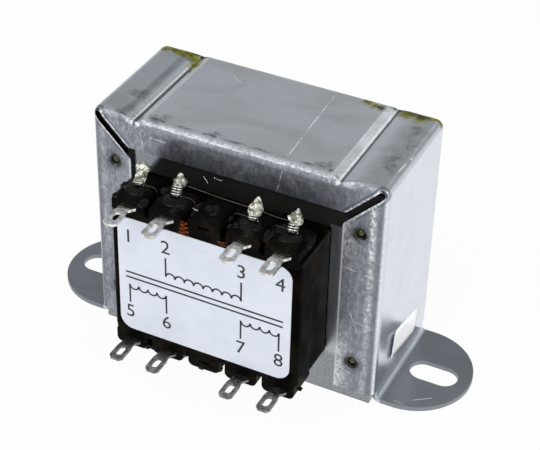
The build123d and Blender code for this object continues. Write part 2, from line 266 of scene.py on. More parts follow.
class Sheet(Tree):
    """The node tree of one material, worked on in millimetres of the object's own space."""

    def __init__(self, material: bpy.types.Material) -> None:
        """Start with one shader and its output.

        Args:
            material: The material whose nodes are made.
        """
        super().__init__(material)
        self.shader = self.add("ShaderNodeBsdfPrincipled")
        self.add("ShaderNodeOutputMaterial", {"Surface": self.shader.outputs["BSDF"]})
        self.place = self.vector("MULTIPLY", self.value("ShaderNodeTexCoord", {}, "Object"), (1 / MM,) * 3)

    @cached_property
    def side(self) -> Value:
        """Place across the part."""
        return self.place.axis("X")

    @cached_property
    def wide(self) -> Value:
        """Distance from the middle plane."""
        return abs(self.side)

    @cached_property
    def deep(self) -> Value:
        """Place from front to back."""
        return self.place.axis("Y")

    @cached_property
    def high(self) -> Value:
        """Height above the foot."""
        return self.place.axis("Z")

    def feed(self, name: str, value: Value) -> None:
        """Join a value to an input of the shader.

        Args:
            name: The shader's input.
            value: What feeds it.
        """
        self.tree.links.new(value.socket, self.shader.inputs[name])

    def value(self, kind: str, inputs: Inputs, output: str | int = 0, **settings: object) -> Value:
        """Add a node for the sake of one of its outputs.

        Args:
            kind: Blender's name of the node's type.
            inputs: What its inputs hold or are joined to.
            output: Name or place of the output.
            settings: Properties of the node.

        Returns:
            That output.
        """
        return Value(self, self.add(kind, inputs, **settings).outputs[output])

    def math(self, kind: str, *values: object) -> Value:
        """Join numbers or values in a math node.

        Args:
            kind: The operation.
            values: The numbers or values in order.

        Returns:
            The result.
        """
        return self.value("ShaderNodeMath", dict(enumerate(values)), operation=kind)

    def vector(self, kind: str, *values: object, output: str = "Vector") -> Value:
        """Join vectors in a vector math node.

        Args:
            kind: The operation.
            values: The vectors in order.
            output: Vector, or Value where the result is a number.

        Returns:
            The result.
        """
        return self.value("ShaderNodeVectorMath", dict(enumerate(values)), output, operation=kind)

    def clouds(self, size: float, detail: float = 3.0, stretch: Point = (1, 1, 1), twist: float = 0.0) -> Value:
        """Return soft noise from 0 to 1.

        Args:
            size: Size of a blotch in millimetres.
            detail: Octaves of finer noise.
            stretch: How much longer the pattern is along each axis.
            twist: How far the pattern is pulled about.

        Returns:
            The noise.
        """
        where = self.vector("MULTIPLY", self.place, tuple(1 / s for s in stretch))
        inputs = {"Vector": where, "Scale": 1 / size, "Detail": detail, "Distortion": twist}
        return self.value("ShaderNodeTexNoise", inputs)

    def cells(self, size: float) -> tuple[Value, Value]:
        """Return a pattern of cells such as crystals.

        Args:
            size: Size of a cell in millimetres.

        Returns:
            A random tone for each cell, and the distance from its middle.
        """
        made = self.add("ShaderNodeTexVoronoi", {"Vector": self.place, "Scale": 1 / size}).outputs
        return Value(self, made["Color"]).axis("X"), Value(self, made["Distance"])

    def facing(self, name: str, signed: bool = True) -> Value:
        """Return a mask of the faces that look along an axis.

        Args:
            name: The letter of the axis.
            signed: True to leave out the faces that look the other way.

        Returns:
            1 on those faces and 0 elsewhere.
        """
        along = self.value("ShaderNodeNewGeometry", {}, "Normal").axis(name)
        return (along if signed else abs(along)).span(0.55, 0.9)

    def reach(self, beside: Value, above: Value) -> Value:
        """Return the distance from the middle of a round feature.

        Args:
            beside: Distance to one side of it.
            above: Distance along the other axis.

        Returns:
            The distance in millimetres.
        """
        away = self.value("ShaderNodeCombineXYZ", {0: beside, 1: above})
        return self.vector("LENGTH", away, output="Value")

    def spot(self, centre: Point, radius: float, ragged: float = 1.5, core: float = 0.6) -> Value:
        """Return a mask of one ragged spot.

        Args:
            centre: Its middle in millimetres.
            radius: Its radius in millimetres.
            ragged: How far its edge wanders in millimetres.
            core: Share of the radius inside which it is full.

        Returns:
            1 inside, falling to 0 at the edge.
        """
        wander = self.clouds(ragged * 2).span(0.3, 0.7, -ragged, ragged)
        return (self.vector("DISTANCE", self.place, centre, output="Value") + wander).span(radius, radius * core)

    def stroke(self, start: Point, end: Point, width: float) -> Value:
        """Return a mask of one scratch.

        Args:
            start: One end in millimetres.
            end: The other end in millimetres.
            width: Width in millimetres.

        Returns:
            1 in the scratch and 0 elsewhere.
        """
        along = Vector(end) - Vector(start)
        way = tuple(along.normalized())
        moved = self.vector("SUBTRACT", self.place, tuple((Vector(end) + Vector(start)) / 2))
        travel = self.vector("DOT_PRODUCT", moved, way, output="Value")
        away = self.vector("LENGTH", self.vector("CROSS_PRODUCT", moved, way), output="Value")
        inside = abs(travel).span(along.length / 2, along.length * 0.45)
        return away.span(width, width / 3) * inside * self.clouds(1.4).span(0.42, 0.5, 0.25, 1.0)

    def relief(self, height: Value, depth: float) -> Value:
        """Return a bumped normal.

        Args:
            height: The height from 0 to 1.
            depth: The real depth of the relief in millimetres.

        Returns:
            The normal.
        """
        return self.value("ShaderNodeBump", {"Height": height, "Distance": depth * MM})


@dataclass(frozen=True)
class Finish:
    """A real material and how its surface was made.

    Attributes:
        name: The material and its making, in words joined by underscores.
        colour: Its plain colour, or the colour that it reflects at normal incidence.
        metallic: 1 for a metal and 0 for anything else.
        roughness: Roughness of the bare surface.
        ior: Refractive index.
        specular: Strength of the plain reflection, where 0.5 is that of the index alone.
    """

    name: str
    colour: str
    metallic: float = 0.0
    roughness: float = 0.5
    ior: float = 1.5
    specular: float = 0.5

    def material(self) -> bpy.types.Material:
        """Return this finish as a material, made the first time and shared after that.

        Returns:
            The node material.
        """
        known = bpy.data.materials.get(self.name)
        if known is not None:
            return known
        made = bpy.data.materials.new(self.name)
        sheet = Sheet(made)
        names = ("Base Color", "Metallic", "Roughness", "IOR", "Specular IOR Level")
        values = (linear(self.colour), self.metallic, self.roughness, self.ior, self.specular)
        for name, value in zip(names, values):
            sheet.shader.inputs[name].default_value = value
        self.shade(sheet)
        made.diffuse_color = linear(self.colour)
        return made

    def shade(self, sheet: Sheet) -> None:
        """Add the detail that this surface has.

        Args:
            sheet: The tree to work in.
        """


@dataclass(frozen=True)
class DippedZinc(Finish):
    """Steel strip galvanised before folding: spangled, dulled where it was folded, and marked by varnish."""

    stain_colour: str = "#7D7C10"
    bloom_colour: str = "#80838D"
    marks: tuple[tuple[Point, Point, float], ...] = (
        ((7.86, 10.56, 46.73), (8.98, -12.2, 46.73), 0.15),
        ((8.95, -12.9, 45.2), (8.1, -12.9, 40.6), 0.07),
        ((-16.4, -12.9, 43.9), (-13.2, -12.9, 43.7), 0.12),
        ((-18.4, -12.9, 44.6), (-17.6, -12.9, 41.2), 0.1),
        ((-8.0, 6.0, 46.73), (-11.0, 8.0, 46.73), 0.08),
        ((21.2, -12.9, 29.4), (23.2, -12.9, 29.0), 0.12),
        ((24.8, -12.9, 28.8), (26.6, -12.9, 28.6), 0.16),
        ((22.6, -12.9, 20.0), (24.2, -12.9, 16.0), 0.12),
        ((23.6, -12.9, 18.2), (26.8, -12.9, 17.6), 0.1),
        ((21.0, -12.9, 7.2), (23.4, -12.9, 6.2), 0.1),
        ((-26.0, -12.9, 26.0), (-25.2, -12.9, 17.0), 0.1),
        ((28.0, 4.0, 40.0), (28.0, -1.0, 36.0), 0.08),
        ((-11.0, 12.9, 44.0), (1.0, 12.9, 43.2), 0.1),
        ((27.4, -0.5, 46.45), (27.35, -1.8, 46.45), 0.3),
        ((27.2, -3.4, 46.55), (26.9, -6.4, 46.65), 0.14),
        ((34.0, -8.5, 0.9), (37.0, -6.3, 0.9), 0.1),
        ((31.0, -10.0, 0.9), (34.0, -10.6, 0.9), 0.1),
    )
    stains: Spots = (
        ((-26.4, 10.6, 46.6), 1.3),
        ((-20.4, 10.6, 46.2), 2.2),
        ((-19.3, 8.8, 46.0), 1.6),
        ((-18.9, 6.8, 45.9), 0.8),
        ((14.0, 11.4, 46.6), 2.0),
        ((15.4, 10.4, 46.7), 1.4),
        ((16.6, 10.6, 46.7), 1.5),
        ((21.8, 10.8, 46.3), 2.1),
        ((24.2, 10.6, 46.5), 2.6),
    )
    soot: Spots = (
        ((-22.6, -11.4, 46.4), 2.4),
        ((-19.8, -11.2, 46.2), 2.0),
        ((-22.4, -5.2, 46.4), 1.8),
        ((-16.0, -11.0, 46.7), 2.0),
        ((-5.0, -10.4, 46.7), 1.6),
        ((15.4, -10.6, 46.7), 1.8),
        ((25.0, -6.4, 46.6), 1.9),
        ((25.0, -2.6, 46.6), 2.1),
        ((24.8, 1.6, 46.6), 2.0),
        ((25.2, 6.0, 46.6), 1.5),
    )
    ridge_x: float = 17.6
    rim_x: float = 19.05
    valley_x: float = 19.42
    slot_end: tuple[float, float] = (26.7, 45.43)
    tip: Point = (18.9, -12.6, 45.7)

    def shade(self, sheet: Sheet) -> None:
        """Spangle, drag marks, creases, soot, scratches and the olive varnish that ran over the back edge, with
        painted shade and highlights on the lips, feet, folds, creases, slots and dimples.

        Args:
            sheet: The tree to work in.
        """
        top, lips = sheet.facing("Z"), sheet.facing("Y", signed=False)
        wide, high = sheet.wide, sheet.high
        spangle, _ = sheet.cells(4.2)
        mottle = sheet.clouds(0.5, 6.0, twist=0.3)
        smudge = sheet.clouds(9.0, 5.0, (1.8, 1, 1), 0.8)

        # Hot dipped zinc: large crystals tilt the light a little each, so the wall looks clouded and not painted
        tone = spangle.span(0.0, 1.0, 0.0, 0.12).blend(self.colour, "#B6BBC5")
        # Handling film: broad faint smudges on the top, where the sheet lay in the winding shop
        film = smudge.span(0.4, 0.66, 0.15, 0.5) + mottle.span(0.5, 0.7, 0.0, 0.12)
        tone = (top * film).blend(tone, "#A9ADAB")
        tone = lips.blend(tone, self.lip_tone(sheet, mottle))
        # Front fold: the zinc cracked finely along the bend and lost its gloss
        bend = high.span(44.9, 45.3) * high.span(46.68, 46.4) * abs(sheet.deep).span(11.4, 12.0)
        tone = (bend * mottle.span(0.34, 0.6, 0.75, 0.1)).blend(tone, "#80848A")
        # Painted shade on the feet: darker zinc with a fine grain, between bright cut edges
        foot = high.span(2.0, 1.2) * wide.span(28.4, 29.0)
        tone = foot.blend(tone, smudge.span(0.35, 0.62).blend("#878A91", "#8F9299"))
        # Die line: a soft broken dark line along the start of the front fold, which is painted shade, with a shallow
        # pressed line in the bump
        line = abs(sheet.deep + 11.3).span(0.5, 0.08) * sheet.clouds(3.0, 5.0).span(0.42, 0.62, 0.1, 0.85)
        die_line_shade = line * top * wide.span(17.6, 17.2)
        tone = (die_line_shade * mottle.span(0.3, 0.6, 0.35, 0.95)).blend(tone, "#3F4347")
        # Soot: fine grain that settled in the hollows beside the creases and along the folds
        grain = sheet.clouds(0.45, 3.0, (1, 1.3, 1)).span(0.3, 0.75, 0.25, 1.0)
        soot = union(sheet.spot(centre, radius, 1.2, 0.1) for centre, radius in self.soot) * grain * top
        tone = (soot * 0.7).blend(tone, "#454A45")
        tone, edges = self.creases(sheet, tone, mottle)
        burr, outline, wall = self.slot_rim(sheet, mottle, lips)
        tone = (outline * 0.6).blend(tone, "#44474D")
        # Painted shade in the slot: the sheared wall is made nearly black
        tone = (wall * 0.92).blend(tone, "#161513")
        # White: scratches, frosted drag marks, scuffs and burrs of bare zinc, with painted highlights along the
        # creases and the crown of the front fold
        scratches = union(sheet.stroke(*mark) for mark in self.marks) * 0.7
        bare = edges | self.rubs(sheet, mottle, lips) | burr * top.span(1.0, 0.0) | scratches
        tone = bare.blend(tone, "#F6F7F9")
        tone, dried = self.varnish(sheet, tone, smudge)
        tone, dimple_shade = self.dimples(sheet, tone, lips)
        sheet.feed("Base Color", tone)
        # Varnish mist on the top lip: a matt film that lifts the black which the zinc mirrors from the coil
        dull = bare * 0.85 | dried | dimple_shade | lips * high.span(39.6, 40.2, 0.0, 0.16)
        sheet.feed("Metallic", 1.0 - dull)
        sheet.feed("Specular IOR Level", dried.span(0.0, 0.6, 0.5, 0.08))

        rough = smudge.span(0.3, 0.7, self.roughness - 0.05, self.roughness + 0.05)
        rough = rough + lips * mottle.span(0.35, 0.65, 0.2, 0.08) + (top | foot) * 0.12 + bend * 0.12
        sheet.feed("Roughness", rough)
        sheet.feed("Normal", sheet.relief(spangle * 0.1 + mottle * lips - die_line_shade * 2.0, 0.02))

    def lip_tone(self, sheet: Sheet, mottle: Value) -> Value:
        """Return the tone of the folded lips.

        Args:
            sheet: The tree to work in.
            mottle: Fine noise.

        Returns:
            The colour.
        """
        wide, high = sheet.wide, sheet.high
        drawn = sheet.clouds(0.6, 5.0, (1, 1, 2.0), 0.5)
        # Painted shade and zinc bloom: the lips take a darker tone than the walls, with a matt skin and faint drag
        # lines from the folding tool
        rubbed = drawn.span(0.35, 0.7) * mottle.span(0.3, 0.75, 0.4, 1.0)
        tone = rubbed.blend(self.bloom_colour, "#ABB0B8")
        # Side fold: a stripe of painted shade beside it, and a mottled painted highlight on it
        tone = (wide.band(27.1, 0.6, 0.35) * 0.5).blend(tone, "#6E737B")
        tone = (wide.span(27.6, 28.0) * mottle.span(0.36, 0.6, 0.3, 1.0)).blend(tone, "#D2D6DD")
        # Darker below a scalloped line with sharp upper edges, and darker in threads lower down, on the top lip,
        # strongest in front of the coil
        scallop = high + sheet.clouds(4.2, 3.0, (1.3, 1, 1), 0.8).span(0.3, 0.7, -1.7, 1.7)
        thread = high + sheet.clouds(1.3, 5.0, (1, 1, 2.6), 0.5).span(0.3, 0.7, -1.5, 1.5)
        darkened_scallops = scallop.span(43.5, 43.35, 0.0, 0.3) | thread.span(41.8, 41.1, 0.0, 0.45)
        return (darkened_scallops * wide.span(17.4, 13.4, 0.15, 1.0) * high.span(39.6, 40.4)).blend(tone, "#44464F")

    def rubs(self, sheet: Sheet, mottle: Value, lips: Value) -> Value:
        """Return a mask of white marks: a painted highlight along the crown of the front fold, scuffs along the side
        folds, and the frosted drag marks.

        Args:
            sheet: The tree to work in.
            mottle: Fine noise.
            lips: Mask of the lips.

        Returns:
            1 where it is white.
        """
        wide, high, far = sheet.wide, sheet.high, abs(sheet.deep)
        # Painted highlight along the crown of the front fold
        crown = high.band(46.12, 0.16, 0.03) * sheet.clouds(1.6, 3.0).span(0.4, 0.6, 0.12, 0.55)
        crown = crown * wide.span(18.0, 17.2) * far.span(11.6, 12.0)
        corner = wide.band(27.62, 0.26, 0.06) * far.span(11.5, 11.8) * high.span(44.6, 44.0)
        drag = wide.band(25.8, 0.8, 0.2) * high.span(14.0, 24.0, 0.3, 1.0)
        drag = drag * sheet.clouds(3.0).span(0.36, 0.6, 0.45, 1.0)
        ends = high.span(24.0, 38.0, 0.1, 0.8) | high.span(18.0, 12.0, 0.0, 0.9)
        # Frost: fine grain on the side lips, below the slots and much fainter on the left
        grain = sheet.clouds(0.3, 6.0, (1, 1, 1.6)) * sheet.clouds(0.6, 8.0).span(0.42, 0.6, 0.35, 1.9)
        frost = (drag | wide.span(23.4, 20.4) * ends) * (wide - high).span(-18.9, -18.5) * grain * lips
        frost = frost * sheet.side.span(-1.0, 1.0, 0.3, 1.0)
        return crown | corner * mottle.span(0.36, 0.62, 0.05, 0.5) | frost * 0.85

    def slot_rim(self, sheet: Sheet, mottle: Value, lips: Value) -> tuple[Value, Value, Value]:
        """Return masks of the relief slots at the upper corners.

        Args:
            sheet: The tree to work in.
            mottle: Fine noise.
            lips: Mask of the lips.

        Returns:
            1 on the burr, 1 on a dark ring round it, and 1 on the wall of the slot, where shade is painted.
        """
        wide, high = sheet.wide, sheet.high
        beside, above = wide - self.slot_end[0], high - self.slot_end[1]
        along = (beside + above) * math.sqrt(0.5) | 0.0
        reach = sheet.reach(along, (beside - above) * math.sqrt(0.5))
        near = wide.span(19.6, 20.4) * high.span(38.6, 39.2) * abs(sheet.deep).span(11.2, 11.8)
        inside = reach.span(1.02, 0.86) * near
        burr = inside * lips.span(0.6, 0.9) * mottle.span(0.36, 0.6, 0.15, 0.8)
        cut = wide.band(20.5, 0.22, 0.1) * lips * high.span(38.8, 38.2, 0.0, 0.6)
        return burr | cut, reach.band(1.22, 0.24, 0.06) * near, inside * lips.span(0.6, 0.3)

    def creases(self, sheet: Sheet, tone: Value, mottle: Value) -> tuple[Value, Value]:
        """Paint highlights and shade along the two pressed creases.

        Args:
            sheet: The tree to work in.
            tone: The colour so far.
            mottle: Fine noise.

        Returns:
            The new colour and a mask of painted highlight.
        """
        above = sheet.high.span(45.3, 45.6)

        def line(place: float, half: float) -> Value:
            """Return a soft line along the crease."""
            return sheet.wide.band(place, half, half * 0.3) * above

        # Shallow flank: a painted highlight beside the valley, a painted dark streak on the left, a faint painted
        # highlight on the right, and painted shade further out
        left = sheet.side.span(1.0, -1.0)
        right = 1.0 - left
        flank_highlight = line(20.5, 1.0) * sheet.clouds(0.32, 5.0).span(0.4, 0.6, 0.05, 0.9) * left.span(0.0, 1.0, 0.35, 1.0)
        tone = flank_highlight.blend(tone, "#DDE0E5")
        tone = (line(22.0, 1.2) * left * sheet.clouds(2.0, 4.0, (1, 5, 1)) * 0.8).blend(tone, "#53585F")
        tone = (line(20.9, 1.5) * right * 0.4).blend(tone, "#D5D8E2")
        tone = (sheet.wide.span(21.0, 24.0) * above * 0.22).blend(tone, "#5C6166")
        # Painted shade: a hair line in the valley, and a dark spot at each back end
        ends = (sheet.spot((way * 19.34, 12.4, 45.9), 1.1, 0.2, 0.5) for way in (-1, 1))
        tone = (line(self.valley_x, 0.42) * 0.8 | union(ends)).blend(tone, "#24272A")
        # Ridge and rim: painted highlights along the sharp edges, on the steep flank and at the front tips
        flank = line(18.4, 0.75) * mottle.span(0.46, 0.64, 0.0, 0.4)
        tips = (sheet.spot((way * self.tip[0], *self.tip[1:]), 0.7, 0.2, 0.3) for way in (-1, 1))
        edges = line(self.rim_x, 0.3) * left.span(0.0, 1.0, 1.0, 0.25) | line(19.95, 0.2) * left
        edges = edges | line(self.ridge_x, 0.22) * 0.35 * right | union(tips)
        return tone, (edges * mottle.span(0.36, 0.56, 0.5, 1.0) | flank) * 0.9

    def varnish(self, sheet: Sheet, tone: Value, smudge: Value) -> tuple[Value, Value]:
        """Let impregnating varnish run over the back edge.

        Args:
            sheet: The tree to work in.
            tone: The colour so far.
            smudge: Broad noise.

        Returns:
            The new colour and a mask of varnish.
        """
        deep = sheet.deep
        ragged = deep + sheet.clouds(3.2, 3.0).span(0.3, 0.7, -0.9, 0.9)
        corner = ragged.span(9.9, 11.0) * sheet.wide.span(18.6, 20.6)
        thin = deep.span(11.3, 12.1) * smudge.span(0.36, 0.6, 0.12, 0.6)
        pools = union(sheet.spot(centre, radius, 0.28, 0.3) for centre, radius in self.stains)
        stain = (pools | (corner | thin) * sheet.high.span(45.0, 46.2)) * 0.96
        # Dried varnish: olive where it is thin and almost black where it stood
        dried = sheet.clouds(2.2, 5.0, twist=0.5).span(0.4, 0.66).blend(self.stain_colour, "#2C2A07")
        return stain.blend(tone, dried), stain

    def dimples(self, sheet: Sheet, tone: Value, lips: Value) -> tuple[Value, Value]:
        """Paint shade into the pressed dish round each dimple, and a nearly black ring round its hole.

        Args:
            sheet: The tree to work in.
            tone: The colour so far.
            lips: Mask of the lips.

        Returns:
            The new colour and a mask of the painted ring.
        """
        wander = sheet.clouds(1.0, 3.0).span(0.3, 0.7, -0.2, 0.2)
        reach = sheet.reach(sheet.wide - DIMPLE_X, abs(sheet.high - DIMPLE_Z) - DIMPLE_RISE) + wander
        # Painted shade: a darker dish round each dimple on the lips, and a nearly black ring round its hole
        tone = (reach.span(2.5, 1.5) * lips * 0.62).blend(tone, "#50535B")
        ring = reach.span(1.4, 1.15)
        return ring.blend(tone, "#12110A"), ring


@dataclass(frozen=True)
class CutZinc(Finish):
    """The same sheet where an edge is cut or rubbed: smooth, bright and without spangle."""

    def shade(self, sheet: Sheet) -> None:
        """Fine drag lines of the press tool.

        Args:
            sheet: The tree to work in.
        """
        drag = sheet.clouds(0.35, 3.0, (1, 1, 5))
        # Sheared edge: lines through the thickness break its glint
        sheet.feed("Base Color", drag.span(0.35, 0.65).blend(self.colour, "#A4A9AE"))
        sheet.feed("Roughness", drag.span(0.3, 0.7, self.roughness, self.roughness + 0.2))


@dataclass(frozen=True)
class StampedLaminations(Finish):
    """Silicon steel stampings stacked face to face: blue grey oxide faces and a finely ruled edge."""

    pitch: float = 0.5

    def shade(self, sheet: Sheet) -> None:
        """Rolling streaks on the faces and one ruled line for each stamping at the edges.

        Args:
            sheet: The tree to work in.
        """
        side, wide, high = sheet.side, sheet.wide, sheet.high
        streak = sheet.clouds(0.9, 4.0, (1, 1, 26))
        # Annealed oxide: the rolled face keeps long faint streaks
        tone = streak.span(0.3, 0.7, 0.0, 0.25).blend(self.colour, "#A6A9AD")
        # Varnish mist: fine drops dulled the steel in specks
        tone = sheet.clouds(0.4, 5.0).span(0.48, 0.66, 0.0, 0.5).blend(tone, "#5A5C60")
        # Painted light: the outer legs beside the coil are made brighter, and more matt
        leg = wide.span(17.6, 18.2) * high.span(8.0, 10.0) * high.span(36.6, 36.4)
        tone = (leg * 0.5).blend(tone, "#DFE2E8")
        # Painted shade: the steel turns nearly black on the yoke under the top lip, fading out past a diagonal edge at
        # the left end, in the outer upper corners and down the left side
        run = high.span(33.0, 35.5) * (side - high * 0.6).span(-39.4, -38.2, 0.12, 1.0) * leg.span(0.0, 1.0, 1.0, 0.0)
        run = run | wide.span(19.6, 20.6) * high.span(37.6, 38.6) | side.span(-19.7, -19.95) * high.span(24.0, 28.0)
        tone = (run * 0.96).blend(tone, "#14120E")
        sheet.feed("Metallic", run.span(0.0, 1.0, 1.0, 0.0))
        sheet.feed("Specular IOR Level", run.span(0.0, 1.0, 0.5, 0.04))
        # Stack edge: varnish fills the gap between two stampings, so each one shows as a hair line
        gap = abs(sheet.math("FRACT", sheet.deep / self.pitch) - 0.5).span(0.36, 0.48)
        line = gap * (1.0 - sheet.facing("Y", signed=False))
        tone = (line * 0.7).blend(tone, "#2B2620")
        sheet.feed("Base Color", tone)
        rough = streak.span(0.3, 0.7, self.roughness - 0.03, self.roughness + 0.05)
        sheet.feed("Roughness", rough + leg * 0.1)
        sheet.feed("Normal", sheet.relief(1.0 - line, 0.06))


@dataclass(frozen=True)
class VarnishedMoulding(Finish):
    """Black nylon moulding under impregnating varnish, which stands in lumps round the terminals."""

    lump: float = 1.3
    depth: float = 0.16
    grain: float = 0.22

    def shade(self, sheet: Sheet) -> None:
        """Lumps of varnish, with a brown cast where it is thick.

        Args:
            sheet: The tree to work in.
        """
        lumps = sheet.clouds(self.lump, 3.0, twist=0.4)
        pool = sheet.clouds(3.2).span(0.45, 0.62)
        # Poured resin: thick spots turn brown, thin ones leave the black moulding
        sheet.feed("Base Color", (pool * 0.6).blend(self.colour, "#1C1710"))
        sheet.feed("Roughness", lumps.span(0.35, 0.65, self.roughness, self.roughness + self.grain))
        sheet.feed("Normal", sheet.relief(lumps, self.depth))


@dataclass(frozen=True)
class Wound(Finish):
    """A coil of round wire wound in level layers."""

    wire: float = 0.3

    def shade(self, sheet: Sheet) -> None:
        """One rounded ridge for each turn.

        Args:
            sheet: The tree to work in.
        """
        offset = sheet.math("FRACT", sheet.high / self.wire) - 0.5
        crown = 1.0 - offset * offset * 4.0
        drift = sheet.clouds(4.0, 2.0, (3, 3, 1))
        # Enamel over drawn copper: warm metal, with painted shade in the valley between two turns
        sheet.feed("Base Color", crown.span(0.0, 0.7).blend("#3A1608", self.colour))
        sheet.feed("Roughness", drift.span(0.3, 0.7, self.roughness, self.roughness + 0.15))
        sheet.feed("Normal", sheet.relief(crown, self.wire / 2))


@dataclass(frozen=True)
class Speckled(Finish):
    """A surface with one fine grain and one broad blotch, such as paper, film or a tinned stamping."""

    second: str = "#808080"
    grain: float = 0.3
    blotch: float = 4.0
    depth: float = 0.01
    share: float = 0.5
    stretch: Point = (1, 1, 1)

    def shade(self, sheet: Sheet) -> None:
        """Blend the second colour in by blotches, and raise the grain.

        Args:
            sheet: The tree to work in.
        """
        grain = sheet.clouds(self.grain, 3.0, self.stretch)
        blotch = sheet.clouds(self.blotch, 3.0, self.stretch, 0.5).span(0.4, 0.65, 0.0, self.share)
        sheet.feed("Base Color", blotch.blend(self.colour, self.second))
        sheet.feed("Roughness", grain.span(0.3, 0.7, self.roughness - 0.05, self.roughness + 0.1))
        sheet.feed("Normal", sheet.relief(grain, self.depth))


@dataclass(frozen=True)
class StampedTin(Speckled):
    """A tinned stamping whose post went through the varnish."""

    middle: float = 22.5
    reach: float = 15.9

    def shade(self, sheet: Sheet) -> None:
        """Tin bloom on the tag, and dark varnish on the post behind the wire.

        Args:
            sheet: The tree to work in.
        """
        grain = sheet.clouds(self.grain, 4.0)
        blotch = sheet.clouds(self.blotch, 4.0, twist=0.5).span(0.4, 0.62, 0.0, self.share)
        tone = blotch.blend(self.colour, self.second)
        # Press marks: dark dents from the punch, scattered over the stamping
        dents = sheet.clouds(0.6, 5.0, twist=1.2).span(0.56, 0.64)
        tone = (dents * 0.55).blend(tone, "#3E3D3A")
        # Varnished post: nearly black between the bright turns
        post = abs(sheet.high - self.middle).span(self.reach, self.reach + 0.3)
        sheet.feed("Base Color", (post * 0.93).blend(tone, "#0E0C09"))
        sheet.feed("Metallic", post.span(0.0, 1.0, 1.0, 0.1))
        sheet.feed("Roughness", grain.span(0.3, 0.7, self.roughness - 0.06, self.roughness + 0.14))
        sheet.feed("Normal", sheet.relief(grain, self.depth))


@dataclass(frozen=True)
class CrumpledSolder(Finish):
    """Solder that froze in facets under a skin of flux."""

    facet: float = 0.75

    def shade(self, sheet: Sheet) -> None:
        """Painted reflections on facets that each catch a different part of the studio, and flux with painted shade in
        the hollows.

        Args:
            sheet: The tree to work in.
        """
        shade, tilt = sheet.cells(self.facet)
        # Painted reflection: neighbouring facets get tones from white to grey, as if each caught a different part of
        # the studio, as crumpled foil does
        tone = shade.span(0.35, 0.75).blend(self.colour, "#8E8E84")
        # Flux and painted shade: yellow green and darker where two facets meet
        sheet.feed("Base Color", (tilt.span(0.42, 0.75) * 0.6).blend(tone, "#57582F"))
        sheet.feed("Roughness", tilt.span(0.2, 0.7, self.roughness, self.roughness + 0.25))
        sheet.feed("Normal", sheet.relief(1.0 - tilt, 0.3))


# Zinc: a clouded near mirror on the flat walls, a matt mottle on the folded lips
GALVANISED = DippedZinc("galvanised_steel_hot_dipped_and_folded", "#D9DDE6", 1.0, 0.24)
# Sheared sheet: bright rims that outline every lip and foot
SHEARED = CutZinc("galvanised_steel_sheared_edge", "#F2F3F5", 0.45, 0.3)
# Core: a blue grey glint between the coil and the frame
LAMINATIONS = StampedLaminations("silicon_steel_stamped_and_annealed", "#8E9196", 1.0, 0.2)
# Former: wet looking black with lumps of resin
FORMER = VarnishedMoulding("nylon_moulded_and_varnish_dipped", "#080706", 0.0, 0.22, 1.53, specular=0.02)
# Cover: the same black, smooth from the tool, with long soft reflections
COVER = VarnishedMoulding("nylon_moulded_glossy", "#060504", 0.0, 0.16, 1.53, specular=0.01, lump=6.0, depth=0.05)
# Varnish drops: clear and wet over the black, with small sharp glints
DROPS = VarnishedMoulding(
    "impregnating_varnish_set", "#080604", 0.0, 0.05, 1.55, specular=0.14, lump=0.8, depth=0.2, grain=0.06,
)
# Fine primary wire: closely ruled copper
FINE_COPPER = Wound("copper_wire_enamelled_fine", "#B4612F", 1.0, 0.28, wire=0.26)
# Thick secondary wire: coarsely ruled copper
HEAVY_COPPER = Wound("copper_wire_enamelled_heavy", "#BC6A35", 1.0, 0.26, wire=0.62)
# Film: clear amber between two layers
FILM = Speckled("polyester_film_wound", "#8C7A45", 0.0, 0.2, 1.6, second="#6E5F33", blotch=6.0, share=0.4)
# Tape: black with a faint lengthwise ripple from the stretch in it
TAPE = Speckled(
    "polyester_tape_wound_tight", "#121213", 0.0, 0.3, 1.58, second="#1E1D1B", grain=1.2, blotch=9.0, depth=0.06,
    stretch=(6, 6, 1),
)
# Terminals: a cream bloom on bright tin
BRIGHT_TIN = StampedTin(
    "brass_stamped_and_tinned", "#F1F0EE", 1.0, 0.2, second="#98948C", grain=0.6, blotch=0.9, depth=0.07,
)
# Terminals below: a darker copy of the same tin, which is painted shade, with a rougher surface
SHADED_TIN = StampedTin(
    "brass_stamped_and_tinned_shaded", "#8F8E8B", 1.0, 0.32, second="#4E4C48", grain=0.5, blotch=1.0, depth=0.06,
    share=0.7,
)
# Wire: thin bright lines
WIRE = Speckled("copper_wire_tinned", "#EDEBE6", 1.0, 0.22, second="#8C8678", grain=0.2, blotch=0.8)
# Link wire: the same wire, dulled by the varnish
DULL_WIRE = Speckled("copper_wire_tinned_and_varnished", "#7A756B", 1.0, 0.35, second="#3E3A32", blotch=1.4)
# Lead ends: dark, sunk in varnish
LEAD = Speckled("copper_wire_varnished", "#1B1009", 0.0, 0.3, 1.5, second="#0C0806", grain=0.2, blotch=0.8)
# Bare copper where the enamel was scraped off: warm bright hair lines
LEAD_BARE = Speckled("copper_wire_scraped_bare", "#96502B", 1.0, 0.35, second="#4A2410", grain=0.2, blotch=0.6)
# Solder: bright cream facets with yellow green between them
SOLDER = CrumpledSolder("tin_lead_solder_with_flux", "#F4F2E8", 0.55, 0.18)
# Resin in the dimples: dark olive glass
RESIN = Speckled(
    "varnish_set_in_dimple", "#2C2D10", 0.0, 0.12, 1.55, second="#5C5D2E", grain=0.5, blotch=0.7, depth=0.1,
)
# Label: bluish white stock with a faint tooth
LABEL = Speckled("paper_label_coated", "#DDE1EC", 0.0, 0.42, 1.5, second="#D2D7E3", grain=0.25, blotch=5.0)
# Sticker: whiter and glossier than the label
STICKER = Speckled("vinyl_sticker_cast", "#FFFFFF", 0.0, 0.3, 1.5, second="#F4F5F7", grain=0.4, blotch=3.0)
# Print: flat black ink with a little wear
INK = Speckled("ink_thermal_printed", "#1B1C20", 0.0, 0.5, 1.5, second="#2C2D33", grain=0.2, blotch=0.9, share=0.6)


